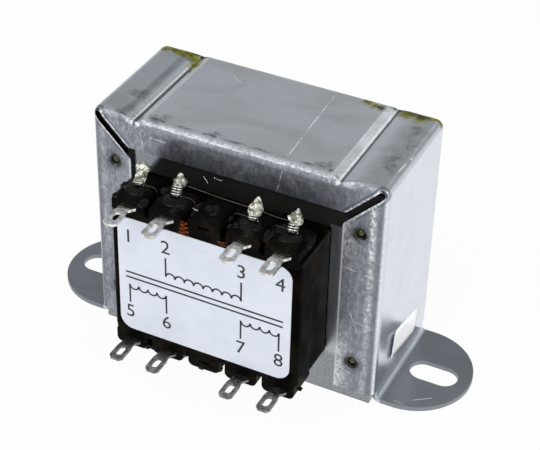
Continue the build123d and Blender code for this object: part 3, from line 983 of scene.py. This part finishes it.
def rest_on_root(piece: bpy.types.Object) -> bpy.types.Object:
    """Let a piece ride on the one body.

    Args:
        piece: The piece.

    Returns:
        The piece.
    """
    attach(piece, "root")
    return piece


def mesh_piece(name: str, shape: bmesh.types.BMesh, finishes: Sequence[Finish]) -> bpy.types.Object:
    """Turn worked mesh data into a piece of the object.

    Args:
        name: The piece's name.
        shape: The mesh data in metres, which is freed.
        finishes: Finishes in the order of the faces' material numbers.

    Returns:
        The new object.
    """
    bmesh.ops.recalc_face_normals(shape, faces=shape.faces)
    data = bpy.data.meshes.new(name)
    shape.to_mesh(data)
    shape.free()
    for finish in finishes:
        data.materials.append(finish.material())
    piece = bpy.data.objects.new(name, data)
    bpy.context.scene.collection.objects.link(piece)
    return rest_on_root(piece)


def round_ring(
    shape: bmesh.types.BMesh, count: int, place: Callable[[float, float], Vector], turn: float = 0.0
) -> list[bmesh.types.BMVert]:
    """Add the points of one ring.

    Args:
        shape: The mesh that gets them.
        count: How many there are.
        place: Gives a point in metres from the cosine and the sine of its angle.
        turn: How far the ring is turned, as a share of the way to the next point.

    Returns:
        The points in order.
    """
    angles = [2 * math.pi * (n + turn) / count for n in range(count)]
    return [shape.verts.new(place(math.cos(angle), math.sin(angle))) for angle in angles]


def add_tube(shape: bmesh.types.BMesh, path: Sequence[Vector], radius: float, sides: int, number: int = 0) -> None:
    """Add a closed tube along a path.

    Args:
        shape: The mesh that gets the tube.
        path: Points of its middle line in metres.
        radius: Its radius in metres.
        sides: How many faces go round it.
        number: Material number of its faces.
    """
    rings = []
    side = Vector((0, 0, 1)).cross(path[1] - path[0])
    if side.length < radius * 0.001:
        side = Vector((1, 0, 0))
    for place, point in enumerate(path):
        ahead = path[min(place + 1, len(path) - 1)] - path[max(place - 1, 0)]
        side = (side - ahead * side.dot(ahead) / ahead.length_squared).normalized()
        other = ahead.cross(side).normalized()
        rings.append(round_ring(shape, sides, lambda c, s: point + radius * (side * c + other * s)))
    join_rings(shape, rings, number)


def join_rings(
    shape: bmesh.types.BMesh, rings: Sequence[Sequence[bmesh.types.BMVert]], number: int = 0, smooth: bool = True
) -> None:
    """Join rings of points into a closed skin with a cap at each end.

    Args:
        shape: The mesh that holds the points.
        rings: Rings with the same number of points, in order.
        number: Material number of the faces.
        smooth: False to leave each face flat.
    """
    count = len(rings[0])
    faces = [shape.faces.new(list(rings[0])), shape.faces.new(list(reversed(rings[-1])))]
    for lower, upper in zip(rings, rings[1:]):
        for n in range(count):
            after = (n + 1) % count
            faces.append(shape.faces.new((lower[n], upper[n], upper[after], lower[after])))
    for face in faces:
        face.material_index = number
        face.smooth = smooth


@dataclass(frozen=True)
class JointShape:
    """How one wire end is finished on its post.

    Attributes:
        turns: Bare turns that show under the solder.
        profile: Pairs of height above the block and radius of the solder, in millimetres.
        bulge: How far the solder hangs to the right at its widest, in millimetres.
        lump: Depth of its lumps in millimetres.
    """

    turns: float
    profile: tuple[tuple[float, float], ...]
    bulge: float
    lump: float


@dataclass
class WiredPost:
    """A post with wire wrapped round its foot and solder over the rest.

    Attributes:
        number: Its place in the row, from 1.
        side: The flange that it stands on.
        shape: How its joint is finished.
    """

    number: int
    side: Side
    shape: JointShape
    lean: float = math.radians(33.0)
    post_length: float = 4.054
    post_thickness: float = 0.5
    wire_radius: float = 0.13
    wrap_radius: float = 0.92
    wrap_start: float = 0.68
    wrap_pitch: float = 0.44
    wrap_steps: int = 14
    solder_levels: int = 9
    solder_facets: int = 9
    collar_points: int = 22
    collar_profile: tuple[tuple[float, float], ...] = (
        (2.25, -0.12), (2.2, 0.02), (1.9, 0.2), (1.45, 0.38), (1.1, 0.5), (0.8, 0.58), (0.45, 0.6),
    )

    @property
    def row(self) -> str:
        """The start of the node names on this flange."""
        return self.side.name.lower()

    @property
    def node(self) -> str:
        """The CAD node that the piece stands for."""
        return f"{self.row}_joint_{self.number}"

    def up(self) -> Vector:
        """Return the way that the post points.

        Returns:
            A unit vector.
        """
        return Vector((0, math.sin(self.lean), self.side.value * math.cos(self.lean)))

    def foot(self) -> Vector:
        """Return where the post leaves its block.

        Returns:
            The point in metres.
        """
        joint_low, joint_high = (Vector(c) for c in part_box(self.node))
        low, high = (Vector(c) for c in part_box(f"{self.row}_tag_{self.number}"))
        half = self.post_thickness / 2 * MM
        end = high.z if self.side is Side.PRIMARY else low.z
        level = end - self.side.value * half * math.sin(self.lean)
        tip = Vector(((joint_low.x + joint_high.x) / 2, high.y - half * math.cos(self.lean), level))
        return tip - self.up() * self.post_length * MM

    def build(self) -> bpy.types.Object:
        """Make the turns and the solder as one piece in place of the CAD joint.

        Returns:
            The piece.
        """
        foot = self.foot()
        up = self.up()
        across = Vector((1, 0, 0))
        out = up.cross(across)
        shape = bmesh.new()

        steps = int(self.shape.turns * self.wrap_steps) + 1
        path = []
        for step in range(steps + 1):
            angle = 2 * math.pi * self.shape.turns * step / steps
            height = (self.wrap_start + self.wrap_pitch * angle / (2 * math.pi)) * MM
            ring = across * math.cos(angle) + out * math.sin(angle)
            path.append(foot + up * height + ring * self.wrap_radius * MM)
        add_tube(shape, path, self.wire_radius * MM, 8, 0)

        rings = []
        low, high = self.shape.profile[0][0], self.shape.profile[-1][0]
        for level in range(self.solder_levels + 1):
            height = low + (high - low) * level / self.solder_levels
            radius = self.radius_at(height)
            share = math.sin(math.pi * level / self.solder_levels)
            middle = foot + (up * height + across * self.shape.bulge * share) * MM

            def skin(cosine: float, sine: float) -> Vector:
                """Return a point of the uneven skin."""
                way = across * cosine + out * sine
                seed = Vector((way.x * 1.1, way.y * 1.1 + self.number * 7.3, height * 1.5 + self.side.value * 3.1))
                grown = radius + self.shape.lump * noise.noise(seed)
                return middle + way * max(grown, 0.08) * MM

            rings.append(round_ring(shape, self.solder_facets, skin, level % 2 / 2))
        join_rings(shape, rings, 1, smooth=False)
        piece = mesh_piece(f"{self.node}_wire_and_solder", shape, (WIRE, SOLDER))
        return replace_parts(piece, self.node)

    def collar(self) -> bpy.types.Object:
        """Make the lump of varnish that stands round the foot of the post.

        Returns:
            The piece.
        """
        foot = self.foot()
        shape = bmesh.new()
        rings = []
        for radius, height in self.collar_profile:

            def skin(cosine: float, sine: float) -> Vector:
                """Return a point of the uneven skin."""
                seed = Vector((cosine * 1.2, sine * 1.2 + self.number * 3.7, self.side.value * 2.0))
                grown = radius * (1 + 0.28 * noise.noise(seed))
                lift = height * (1 + 0.35 * noise.noise(seed * 1.7))
                return foot + Vector((cosine * grown, sine * grown * 0.95, self.side.value * lift)) * MM

            rings.append(round_ring(shape, self.collar_points, skin))
        join_rings(shape, rings)
        return mesh_piece(f"{self.row}_varnish_{self.number}", shape, (DROPS,))

    def radius_at(self, height: float) -> float:
        """Return the solder's radius at a height.

        Args:
            height: Height above the block in millimetres.

        Returns:
            The radius in millimetres.
        """
        for (low, first), (high, last) in zip(self.shape.profile, self.shape.profile[1:]):
            if height <= high:
                share = max(0.0, (height - low) / (high - low))
                return first + (last - first) * share
        return self.shape.profile[-1][1]


JOINT_SHAPES = (
    # A full sleeve of solder with a wider head
    JointShape(1.2, ((0.8, 0.7), (1.2, 0.98), (3.0, 0.95), (3.5, 1.2), (4.2, 1.22), (4.62, 0.7)), 0.15, 0.18),
    # Open turns under a pointed head that hangs to the right
    JointShape(4.4, ((2.3, 0.8), (2.7, 1.15), (3.3, 1.3), (3.9, 0.75), (4.65, 0.14)), 0.22, 0.4),
    # A squat diamond
    JointShape(1.8, ((1.2, 0.7), (1.7, 1.1), (2.6, 1.38), (3.5, 0.85), (4.6, 0.18)), 0.1, 0.42),
    # A diamond over a neck and two loose turns
    JointShape(2.8, ((1.8, 0.6), (2.3, 1.1), (3.0, 1.38), (3.9, 0.75), (4.65, 0.14)), 0.1, 0.4),
)


@dataclass
class FoldedFrame:
    """The strap frame: zinc finish, sheared rims and set varnish in its dimples."""

    node: str = "mounting_frame"
    rim: float = 0.2
    resin_points: int = 20
    resin_profile: tuple[tuple[float, float], ...] = (
        (0.76, 0.85), (0.78, 0.6), (0.74, 0.5), (0.6, 0.42), (0.45, 0.3), (0.25, 0.24), (0.08, 0.22),
    )

    def dress(self, frame: dict) -> list[bpy.types.Object]:
        """Give the frame its finish and fill its eight dimples.

        Args:
            frame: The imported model.

        Returns:
            The resin pieces.
        """
        body = frame["nodes"][self.node]
        set_finishes(body, GALVANISED, SHEARED)
        soften(body, self.rim, rim_material=1)
        plugs = []
        low, high = (Vector(c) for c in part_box(self.node))
        for face_y, away, name in ((low.y, -1, "front"), (high.y, 1, "back")):
            for across in (-1, 1):
                for rise in (-1, 1):
                    centre = Vector((across * DIMPLE_X, 0, DIMPLE_Z + rise * DIMPLE_RISE)) * MM
                    centre.y = face_y
                    side = "right" if across > 0 else "left"
                    level = "upper" if rise > 0 else "lower"
                    plugs.append(self.plug(f"{name}_{side}_{level}_resin", centre, away))
        return plugs

    def plug(self, name: str, centre: Vector, away: int) -> bpy.types.Object:
        """Make the varnish that set in one dimple, hollow in the middle.

        Args:
            name: The piece's name.
            centre: Where the dimple meets the lip's face.
            away: Sign of the way out of the lip along Y.

        Returns:
            The piece.
        """
        shape = bmesh.new()
        rings = []
        for radius, depth in self.resin_profile:

            def skin(cosine: float, sine: float) -> Vector:
                """Return a point of the resin's skin."""
                grown = radius * (1 + 0.05 * noise.noise(Vector((cosine, sine, centre.x * 90))))
                return centre + Vector((cosine * grown, -away * depth, sine * grown)) * MM

            rings.append(round_ring(shape, self.resin_points, skin))
        join_rings(shape, rings)
        return mesh_piece(name, shape, (RESIN,))


@dataclass
class Coil:
    """The bobbin: former, cover, windings, wires and the taped back of the coil."""

    chambers: tuple[str, str] = ("primary", "secondary")
    moulded_rim: float = 0.15
    tape_start: float = 5.2
    tape_length: float = 13.0
    tape_inset: float = 0.25
    tape_lift: float = 0.08

    def dress(self, frame: dict) -> list[bpy.types.Object]:
        """Give the coil's nodes their finishes, and add the tape's end and the stray wires.

        Args:
            frame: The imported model.

        Returns:
            The added pieces.
        """
        nodes = frame["nodes"]
        for part, finish in (("coil_former", FORMER), ("coil_cover", COVER)):
            set_finishes(nodes[part], finish)
            soften(nodes[part], self.moulded_rim)
        for chamber, copper in zip(self.chambers, (FINE_COPPER, HEAVY_COPPER)):
            layers = {"winding_inner": copper, "winding_outer": copper, "layer_insulation": FILM, "outer_wrap": TAPE}
            for part, finish in {**layers, "leads": LEAD}.items():
                set_finishes(nodes[f"{chamber}_{part}"], finish)
        ends = [self.tape_end(chamber) for chamber in self.chambers]
        return [*ends, *self.stray_wires()]

    def tape_end(self, chamber: str) -> bpy.types.Object:
        """Make the last lap of tape, which ends on the back of the coil.

        Args:
            chamber: The winding that it closes.

        Returns:
            The piece.
        """
        low, high = (Vector(c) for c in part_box(f"{chamber}_outer_wrap"))
        inset = self.tape_inset * MM
        lift = self.tape_lift * MM
        shape = bmesh.new()
        rings = []
        columns = 14
        for column in range(columns + 1):
            share = column / columns
            x = (low.x + self.tape_start * MM) + share * self.tape_length * MM
            wave = 0.12 * MM * noise.noise(Vector((share * 6, low.z * 90, 0)))
            edge = lift * (1 - share) ** 0.2
            front, back = high.y - 0.02 * MM, high.y + lift * 0.6 + edge * 0.4
            bottom, top = low.z + inset + wave, high.z - inset + wave
            corners = ((front, bottom), (back, bottom), (back, top), (front, top))
            rings.append([shape.verts.new((x, y, z)) for y, z in corners])
        join_rings(shape, rings)
        piece = mesh_piece(f"{chamber}_tape_end", shape, (TAPE,))
        piece.data.shade_flat()
        return piece

    def stray_wires(self) -> list[bpy.types.Object]:
        """Make the fine wire ends and clippings that the varnish holds round the terminals.

        Returns:
            The pieces.
        """
        strands = (
            ("slack_turns_left", copper_turns(-3.65, 34.75, 7), 0.085, LEAD_BARE),
            ("slack_turns_right", copper_turns(3.625, 35.2, 2), 0.06, LEAD_BARE),
            ("clipping_upper", ((-6.3, -12.1, 38.5), (-5.9, -12.14, 38.0), (-5.4, -12.1, 37.3)), 0.08, WIRE),
            ("clipping_beside", ((-4.3, -12.1, 38.9), (-3.5, -12.14, 38.8), (-2.7, -12.1, 38.75)), 0.06, WIRE),
            ("clipping_lower", ((-3.3, -21.5, 38.74), (-2.8, -21.7, 38.76), (-2.2, -21.72, 38.7)), 0.09, WIRE),
            ("primary_link_left", ((-6.1, -18.9, 40.9), (0.2, -19.0, 40.6), (6.4, -19.1, 40.5)), 0.042, DULL_WIRE),
            ("primary_link_right", ((8.3, -19.1, 40.5), (11.0, -19.2, 40.3), (13.5, -19.2, 40.4)), 0.042, DULL_WIRE),
        )
        made = []
        for name, points, radius, finish in strands:
            shape = bmesh.new()
            add_tube(shape, smooth_path(points, 6), radius * MM, 6)
            made.append(mesh_piece(name, shape, (finish,)))
        for link in made[-2:]:
            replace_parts(link, "primary_links")
        return made


def copper_turns(middle: float, bottom: float, turns: int) -> list[Point]:
    """Return points of a few slack turns that lie in a notch between two blocks.

    Args:
        middle: X of the notch in millimetres.
        bottom: Z of the lowest turn.
        turns: How many times the wire crosses the notch.

    Returns:
        Points in millimetres.
    """
    end_y, crest_y, rise = -24.02, -24.22, 0.42
    points = []
    for turn in range(turns):
        reach = (0.85 - 0.07 * turn) * (1 if turn % 2 else -1)
        level = bottom + rise * turn
        start, end = (middle - reach, end_y, level), (middle + reach, end_y, level + 0.24)
        points += [start, (middle, crest_y, level + 0.1), end]
    return points


def smooth_path(points: Sequence[Point], steps: int) -> list[Vector]:
    """Return a smooth line through points given in millimetres.

    Args:
        points: The points to pass through.
        steps: How many points go between two of them.

    Returns:
        Points in metres.
    """
    knots = [Vector(points[0]), *(Vector(p) for p in points), Vector(points[-1])]
    line = []
    for before, start, end, after in zip(knots, knots[1:], knots[2:], knots[3:]):
        for step in range(steps):
            t = step / steps
            bend = (2 * before - 5 * start + 4 * end - after) * t * t
            curl = (3 * start - before - 3 * end + after) * t * t * t
            line.append((2 * start + (end - before) * t + bend + curl) / 2 * MM)
    line.append(knots[-1] * MM)
    return line


@dataclass
class VarnishLumps:
    """The lumps of varnish that bridge the terminal blocks of one flange, in millimetres.

    Attributes:
        side: The flange.
        seed: Start of the random places.
        pitch: Distance between two blocks.
        block_face: Distance of the blocks' ends from the middle.
        front: Where the lumps start.
        back: Where they end.
        per_block: How many lie on each block.
        spread: How far they lie to either side of its middle.
        flat_half: Half the width of its level end.
        slope: How steeply it falls away beside that.
        radii: Smallest and largest radius.
        sunk: Share of the radius by which a lump sits in the block.
    """

    side: Side
    seed: int
    pitch: float = 7.25
    block_face: float = 16.1
    front: float = -23.6
    back: float = -18.4
    per_block: int = 7
    spread: float = 3.3
    flat_half: float = 2.0
    slope: float = 0.55
    radii: tuple[float, float] = (0.45, 1.15)
    sunk: float = 0.18

    def build(self) -> bpy.types.Object:
        """Make all the lumps of one flange as one piece.

        Returns:
            The piece.
        """
        low, high = (Vector(c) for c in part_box("coil_former"))
        middle = (low.z + high.z) / 2 / MM
        chance = random.Random(self.seed)
        shape = bmesh.new()
        for column in range(-2, 3):
            for place in range(self.per_block):
                x = column * self.pitch + chance.uniform(-self.spread, self.spread)
                shoulder = max(0.0, abs(x - column * self.pitch) - self.flat_half) * self.slope
                y = chance.uniform(self.front, self.back)
                radius = chance.uniform(*self.radii)
                out = self.block_face - shoulder - radius * self.sunk
                centre = Vector((x, y, middle + self.side.value * out))
                self.lump(shape, centre, radius, place + column * self.per_block)
        return mesh_piece(f"{self.side.name.lower()}_varnish_lumps", shape, (DROPS,))

    def lump(self, shape: bmesh.types.BMesh, centre: Vector, radius: float, number: int) -> None:
        """Add one flattened, uneven lump.

        Args:
            shape: The mesh that gets it.
            centre: Its middle in millimetres.
            radius: Its radius in millimetres.
            number: A number that makes it unlike the others.
        """
        made = bmesh.ops.create_icosphere(shape, subdivisions=3, radius=1.0)
        for vert in made["verts"]:
            way = vert.co.copy()
            grown = radius * (1 + 0.35 * noise.noise(way * 1.3 + Vector((number * 1.7, 0, 0))))
            vert.co = (centre + Vector((way.x, way.y * 1.15, way.z * 0.5)) * grown) * MM
        for face in {face for vert in made["verts"] for face in vert.link_faces}:
            face.smooth = True


@dataclass
class Terminals:
    """The eight stamped tags and the joints on their posts."""

    def dress(self, frame: dict) -> list[bpy.types.Object]:
        """Finish the tags and make the joints.

        Args:
            frame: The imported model.

        Returns:
            The joint pieces.
        """
        made = []
        for side, finish in ((Side.PRIMARY, BRIGHT_TIN), (Side.SECONDARY, SHADED_TIN)):
            for number, shape in enumerate(JOINT_SHAPES, start=1):
                tag = frame["nodes"][f"{side.name.lower()}_tag_{number}"]
                set_finishes(tag, finish)
                soften(tag, 0.07)
                post = WiredPost(number, side, shape)
                made += [post.build(), post.collar()]
            made.append(VarnishLumps(side, 11 + side.value).build())
        return made


@dataclass
class LabelPrint:
    """Plain terminal numbers and a winding diagram on the front label, all in millimetres.

    Attributes:
        node: The CAD node that carries it.
        height: Height of a number.
        columns: Middles of the numbers across the label.
        lift: How far the ink stands on the paper.
        margin: Distance of the numbers' middles from the label's upper or lower edge.
        clear: Distance of a winding from the middle, and of its leads' ends from the numbers.
        core_half: Half the length of the core lines.
        core_gap: Distance of each core line from the middle.
        core_width: Width of a core line.
        line_width: Width of a winding's line.
        ink: Half the thickness of the ink.
    """

    node: str = "front_label"
    height: float = 2.9
    columns: tuple[float, ...] = (-14.5, -7.25, 7.25, 14.5)
    lift: float = 0.02
    margin: float = 3.9
    clear: float = 2.1
    core_half: float = 15.2
    core_gap: float = 0.55
    core_width: float = 0.34
    line_width: float = 0.32
    ink: float = 0.01

    def build(self) -> bpy.types.Object:
        """Make all of the print as one thin piece.

        Returns:
            The piece.
        """
        low, high = (Vector(c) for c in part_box(self.node))
        centre = (low.z + high.z) / 2 / MM
        top, bottom = high.z / MM - self.margin, low.z / MM + self.margin
        shape = bmesh.new()
        for number, column in enumerate(self.columns, start=1):
            self.write(shape, str(number), column, top, low.y)
            self.write(shape, str(number + len(self.columns)), column, bottom, low.y)
        face = low.y / MM
        first, second, third, fourth = self.columns
        self.winding(shape, second, third, centre + self.clear, 1, 8, face, top - self.clear)
        for left, right in ((first, second), (third, fourth)):
            self.winding(shape, left, right, centre - self.clear, -1, 4, face, bottom + self.clear)
        for level in (-self.core_gap, self.core_gap):
            line = [(end, centre + level) for end in (-self.core_half, self.core_half)]
            self.ribbon(shape, line, self.core_width, face)
        return mesh_piece("label_print", shape, (INK,))

    def write(self, shape: bmesh.types.BMesh, text: str, x: float, z: float, face: float) -> None:
        """Add one number.

        Args:
            shape: The mesh that gets it.
            text: The number.
            x: Its middle across the label in millimetres.
            z: Its middle up the label in millimetres.
            face: The label's face in metres.
        """
        curve = bpy.data.curves.new("number", "FONT")
        curve.body = text
        curve.size = self.height * 1.35 * MM
        curve.align_x = "CENTER"
        curve.align_y = "CENTER"
        curve.extrude = self.ink * MM
        curve.resolution_u = 3
        holder = bpy.data.objects.new("number", curve)
        data = bpy.data.meshes.new_from_object(holder)
        place = Matrix.Translation((x * MM, face - self.lift * MM, z * MM))
        data.transform(place @ Matrix.Rotation(math.pi / 2, 4, "X"))
        shape.from_mesh(data)
        bpy.data.objects.remove(holder)
        bpy.data.curves.remove(curve)
        bpy.data.meshes.remove(data)

    def ribbon(self, shape: bmesh.types.BMesh, line: Sequence[tuple[float, float]], width: float, face: float) -> None:
        """Add a printed line that follows points.

        Args:
            shape: The mesh that gets it.
            line: Points as X and Z in millimetres.
            width: Width in millimetres.
            face: The label's face in millimetres.
        """
        rings = []
        for place, (x, z) in enumerate(line):
            before, after = line[max(place - 1, 0)], line[min(place + 1, len(line) - 1)]
            along = Vector((after[0] - before[0], after[1] - before[1])).normalized()
            aside = Vector((-along.y, along.x)) * width / 2
            front, back = face - self.lift - self.ink, face - self.lift + self.ink
            corners = ((1, front), (-1, front), (-1, back), (1, back))
            rings.append([shape.verts.new(Vector((x + s * aside.x, y, z + s * aside.y)) * MM) for s, y in corners])
        join_rings(shape, rings)

    def winding(
        self, shape: bmesh.types.BMesh, left: float, right: float, level: float, up: int, loops: int, face: float,
        lead_end: float,
    ) -> None:
        """Add the symbol of one winding with its two leads.

        Args:
            shape: The mesh that gets it.
            left: X of its left lead in millimetres.
            right: X of its right lead.
            level: Z of its middle line.
            up: 1 if its leads go up and -1 if they go down.
            loops: How many humps it has.
            face: The label's face in millimetres.
            lead_end: Z where its leads end.
        """
        radius = (right - left) / loops / 2
        line = [(left, lead_end)]
        for loop in range(loops):
            middle = left + (2 * loop + 1) * radius
            for step in range(9):
                angle = math.pi * (1 - step / 8)
                line.append((middle + radius * math.cos(angle), level + up * radius * math.sin(angle)))
        line.append((right, lead_end))
        self.ribbon(shape, line, self.line_width, face)


@dataclass
class CurledSticker:
    """The small bare sticker on the side, whose front end has let go a little, in millimetres.

    Attributes:
        node: The CAD node that it replaces.
        length: Its length.
        height: Its height.
        tilt: How it is turned on the side, in radians.
        thickness: Its thickness.
        curl: How far its loose end stands off.
        gap: How far the rest stands off.
        wave: Height of the wrinkle along its middle.
        trim: Share by which its corners are rounded.
    """

    node: str = "side_sticker"
    length: float = 13.0
    height: float = 5.3
    tilt: float = math.radians(-10.5)
    thickness: float = 0.09
    curl: float = 0.55
    gap: float = 0.02
    wave: float = 0.03
    trim: float = 0.16

    def build(self) -> bpy.types.Object:
        """Make the sticker in place of the CAD one.

        Returns:
            The piece.
        """
        low, high = (Vector(c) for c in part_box(self.node))
        middle = (low + high) / 2
        shape = bmesh.new()
        rows, columns = 6, 18
        grid = []
        for column in range(columns + 1):
            along = (column / columns - 0.5) * self.length
            loose = max(0.0, -along / self.length - 0.25) / 0.25
            line = []
            for row in range(rows + 1):
                across = (row / rows - 0.5) * self.height
                trim = self.trim if column in (0, columns) and row in (0, rows) else 0.0
                ahead, aside = along * (1 - trim / 6), across * (1 - trim)
                y = ahead * math.cos(self.tilt) - aside * math.sin(self.tilt)
                z = ahead * math.sin(self.tilt) + aside * math.cos(self.tilt)
                wave = self.wave * math.sin(row / rows * math.pi) * (1 - loose)
                x = self.gap + self.curl * loose**2 + wave
                line.append(shape.verts.new((low.x + x * MM, middle.y + y * MM, middle.z + z * MM)))
            grid.append(line)
        for first, second in zip(grid, grid[1:]):
            for row in range(rows):
                shape.faces.new((first[row], second[row], second[row + 1], first[row + 1])).smooth = True
        piece = mesh_piece("side_sticker_curled", shape, (STICKER,))
        thick = piece.modifiers.new("thickness", "SOLIDIFY")
        thick.thickness = self.thickness * MM
        thick.offset = 0
        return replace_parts(piece, self.node)


def set_finishes(piece: bpy.types.Object, *finishes: Finish) -> None:
    """Put finishes in a CAD node's material slots.

    Args:
        piece: The node's object.
        finishes: The finishes in slot order.
    """
    piece.data.materials.clear()
    for finish in finishes:
        piece.data.materials.append(finish.material())


def soften(piece: bpy.types.Object, width: float, rim_material: int = -1) -> None:
    """Round the sharp edges of a CAD node a little, as pressing and moulding leave them.

    Args:
        piece: The node's object.
        width: Width of the rounding in millimetres.
        rim_material: Slot number for the rounded faces, or -1 to keep the neighbours' one.
    """
    rim = piece.modifiers.new("soft_edges", "BEVEL")
    rim.width = width * MM
    rim.segments = 2
    rim.limit_method = "ANGLE"
    rim.angle_limit = math.radians(50)
    rim.use_clamp_overlap = True
    rim.harden_normals = False
    rim.material = rim_material


@dataclass(frozen=True)
class Camera:
    """The photograph's point of view.

    Attributes:
        azimuth: Angle from the front towards the right, in degrees.
        elevation: Angle above the floor, in degrees.
        roll: Turn about the line of sight, in degrees.
        distance: Distance from the target in metres.
        target: The point that it looks at, in metres.
        lens: Focal length in millimetres for a 36 mm wide picture.
    """

    azimuth: float = 25.3366
    elevation: float = 36.047
    roll: float = 1.5349
    distance: float = 0.290657
    target: Point = (0.001201, -0.000714, 0.023407)
    lens: float = 107.02

    def build(self) -> bpy.types.Object:
        """Make it the scene's camera.

        Returns:
            The camera object.
        """
        data = bpy.data.cameras.new("photo_camera")
        data.lens = self.lens
        data.sensor_width = 36.0
        data.clip_start = 0.01
        data.clip_end = 20.0
        holder = bpy.data.objects.new("photo_camera", data)
        turn, rise = math.radians(self.azimuth), math.radians(self.elevation)
        back = Vector((math.sin(turn) * math.cos(rise), -math.cos(turn) * math.cos(rise), math.sin(rise)))
        place = Matrix.Translation(Vector(self.target) + back * self.distance)
        level = back.to_track_quat("Z", "Y").to_matrix().to_4x4()
        holder.matrix_world = place @ level @ Matrix.Rotation(math.radians(self.roll), 4, "Z")
        bpy.context.scene.collection.objects.link(holder)
        bpy.context.scene.camera = holder
        return holder


@dataclass(frozen=True)
class Lamp:
    """One soft area lamp.

    Attributes:
        name: Its name.
        place: Where it is, in metres.
        size: Side of its square face in metres.
        power: Watts.
        colour: Its colour.
    """

    name: str
    place: Point
    size: float
    power: float
    colour: str = "#FFFFFF"

    def build(self) -> None:
        """Add the lamp, turned to the object."""
        data = bpy.data.lights.new(self.name, "AREA")
        data.shape = "SQUARE"
        data.size = self.size
        data.energy = self.power
        data.color = linear(self.colour)[:3]
        holder = bpy.data.objects.new(self.name, data)
        aim = Vector((0, 0, 0.02)) - Vector(self.place)
        holder.matrix_world = Matrix.Translation(self.place) @ aim.to_track_quat("-Z", "Y").to_matrix().to_4x4()
        bpy.context.scene.collection.objects.link(holder)


@dataclass(frozen=True)
class Studio:
    """A white sweep under a darker ceiling, so that bent metal shows both.

    Attributes:
        lamps: The soft lamps.
        sky: Height from the horizon to the zenith, as the sine, and the tone there.
        floor_half: Half the side of the floor in metres.
        floor_level: How high the floor lies in metres, a hair under the feet.
        floor_white: Share of plain white in what the eye, mirrors and glass see of the floor.
    """

    lamps: tuple[Lamp, ...] = (
        Lamp("key_front_left", (-0.5, -0.85, 0.7), 1.0, 5.2),
        Lamp("fill_right", (0.95, -0.3, 0.5), 0.7, 5.0),
        Lamp("strip_back_right", (0.3, 0.9, 0.72), 0.16, 0.16),
        Lamp("glint_left", (-0.35, -0.75, 0.95), 0.06, 0.32),
        Lamp("glint_right", (0.7, -0.6, 0.8), 0.06, 0.26),
    )
    sky: tuple[tuple[float, str], ...] = (
        (0.0, "#FFFFFF"), (0.14, "#EFF0F1"), (0.34, "#BABCBC"), (0.62, "#AFB2B3"), (0.85, "#CCCECF"),
    )
    floor_half: float = 3.0
    floor_level: float = -0.00002
    floor_white: float = 0.95

    def build(self) -> None:
        """Make the world, the lamps and the floor."""
        self.world()
        for lamp in self.lamps:
            lamp.build()
        self.floor()

    def world(self) -> None:
        """Light from all round: white at the horizon, grey above."""
        bpy.context.scene.world = bpy.data.worlds.new("studio")
        tree = Tree(bpy.context.scene.world)
        way = tree.add("ShaderNodeTexCoord").outputs["Generated"]
        height = tree.add("ShaderNodeSeparateXYZ", {0: way}).outputs["Z"]
        tones = tree.add("ShaderNodeValToRGB", {"Fac": height})
        light = tree.add("ShaderNodeBackground", {"Color": tones.outputs["Color"]})
        tree.add("ShaderNodeOutputWorld", {"Surface": light.outputs["Background"]})
        ramp = tones.color_ramp.elements
        for element, (place, code) in zip(ramp, (self.sky[0], self.sky[-1])):
            element.position = place
            element.color = linear(code)
        for place, code in self.sky[1:-1]:
            ramp.new(place).color = linear(code)

    def floor(self) -> None:
        """A wide pale floor that looks white and keeps a soft shadow."""
        shape = bmesh.new()
        half = self.floor_half
        corners = ((-half, -half), (half, -half), (half, half), (-half, half))
        shape.faces.new([shape.verts.new((x, y, self.floor_level)) for x, y in corners])
        data = bpy.data.meshes.new("floor")
        shape.to_mesh(data)
        shape.free()
        floor = bpy.data.objects.new("floor", data)
        bpy.context.scene.collection.objects.link(floor)
        data.materials.append(bpy.data.materials.new("paper_sweep_matt"))
        tree = Tree(data.materials[0])
        seen = tree.add("ShaderNodeLightPath").outputs
        share = seen["Is Camera Ray"]
        for ray in ("Is Glossy Ray", "Is Transmission Ray"):
            share = tree.add("ShaderNodeMath", {0: share, 1: seen[ray]}, operation="MAXIMUM").outputs[0]
        share = tree.add("ShaderNodeMath", {0: share, 1: self.floor_white}, operation="MULTIPLY").outputs[0]
        paper = tree.add("ShaderNodeBsdfDiffuse", {"Color": linear("#EEEFF0")}).outputs[0]
        white = tree.add("ShaderNodeEmission", {"Color": linear("#FFFFFF")}).outputs[0]
        mixed = tree.add("ShaderNodeMixShader", {0: share, 1: paper, 2: white}).outputs[0]
        tree.add("ShaderNodeOutputMaterial", {"Surface": mixed})


def main() -> None:
    """Build the dressed transformer and its studio."""
    logging.basicConfig(level=logging.INFO)
    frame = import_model()

    Camera().build()
    Studio().build()
    for name, finish in (("core_e_stack", LAMINATIONS), ("core_i_stack", LAMINATIONS), ("front_label", LABEL)):
        set_finishes(frame["nodes"][name], finish)
    LabelPrint().build()
    CurledSticker().build()
    for group in (FoldedFrame(), Coil(), Terminals()):
        made = group.dress(frame)
        LOG.info("%s: %d pieces", type(group).__name__, len(made))
    bpy.context.scene.view_settings.view_transform = "Standard"


if __name__ == "__main__":
    main()
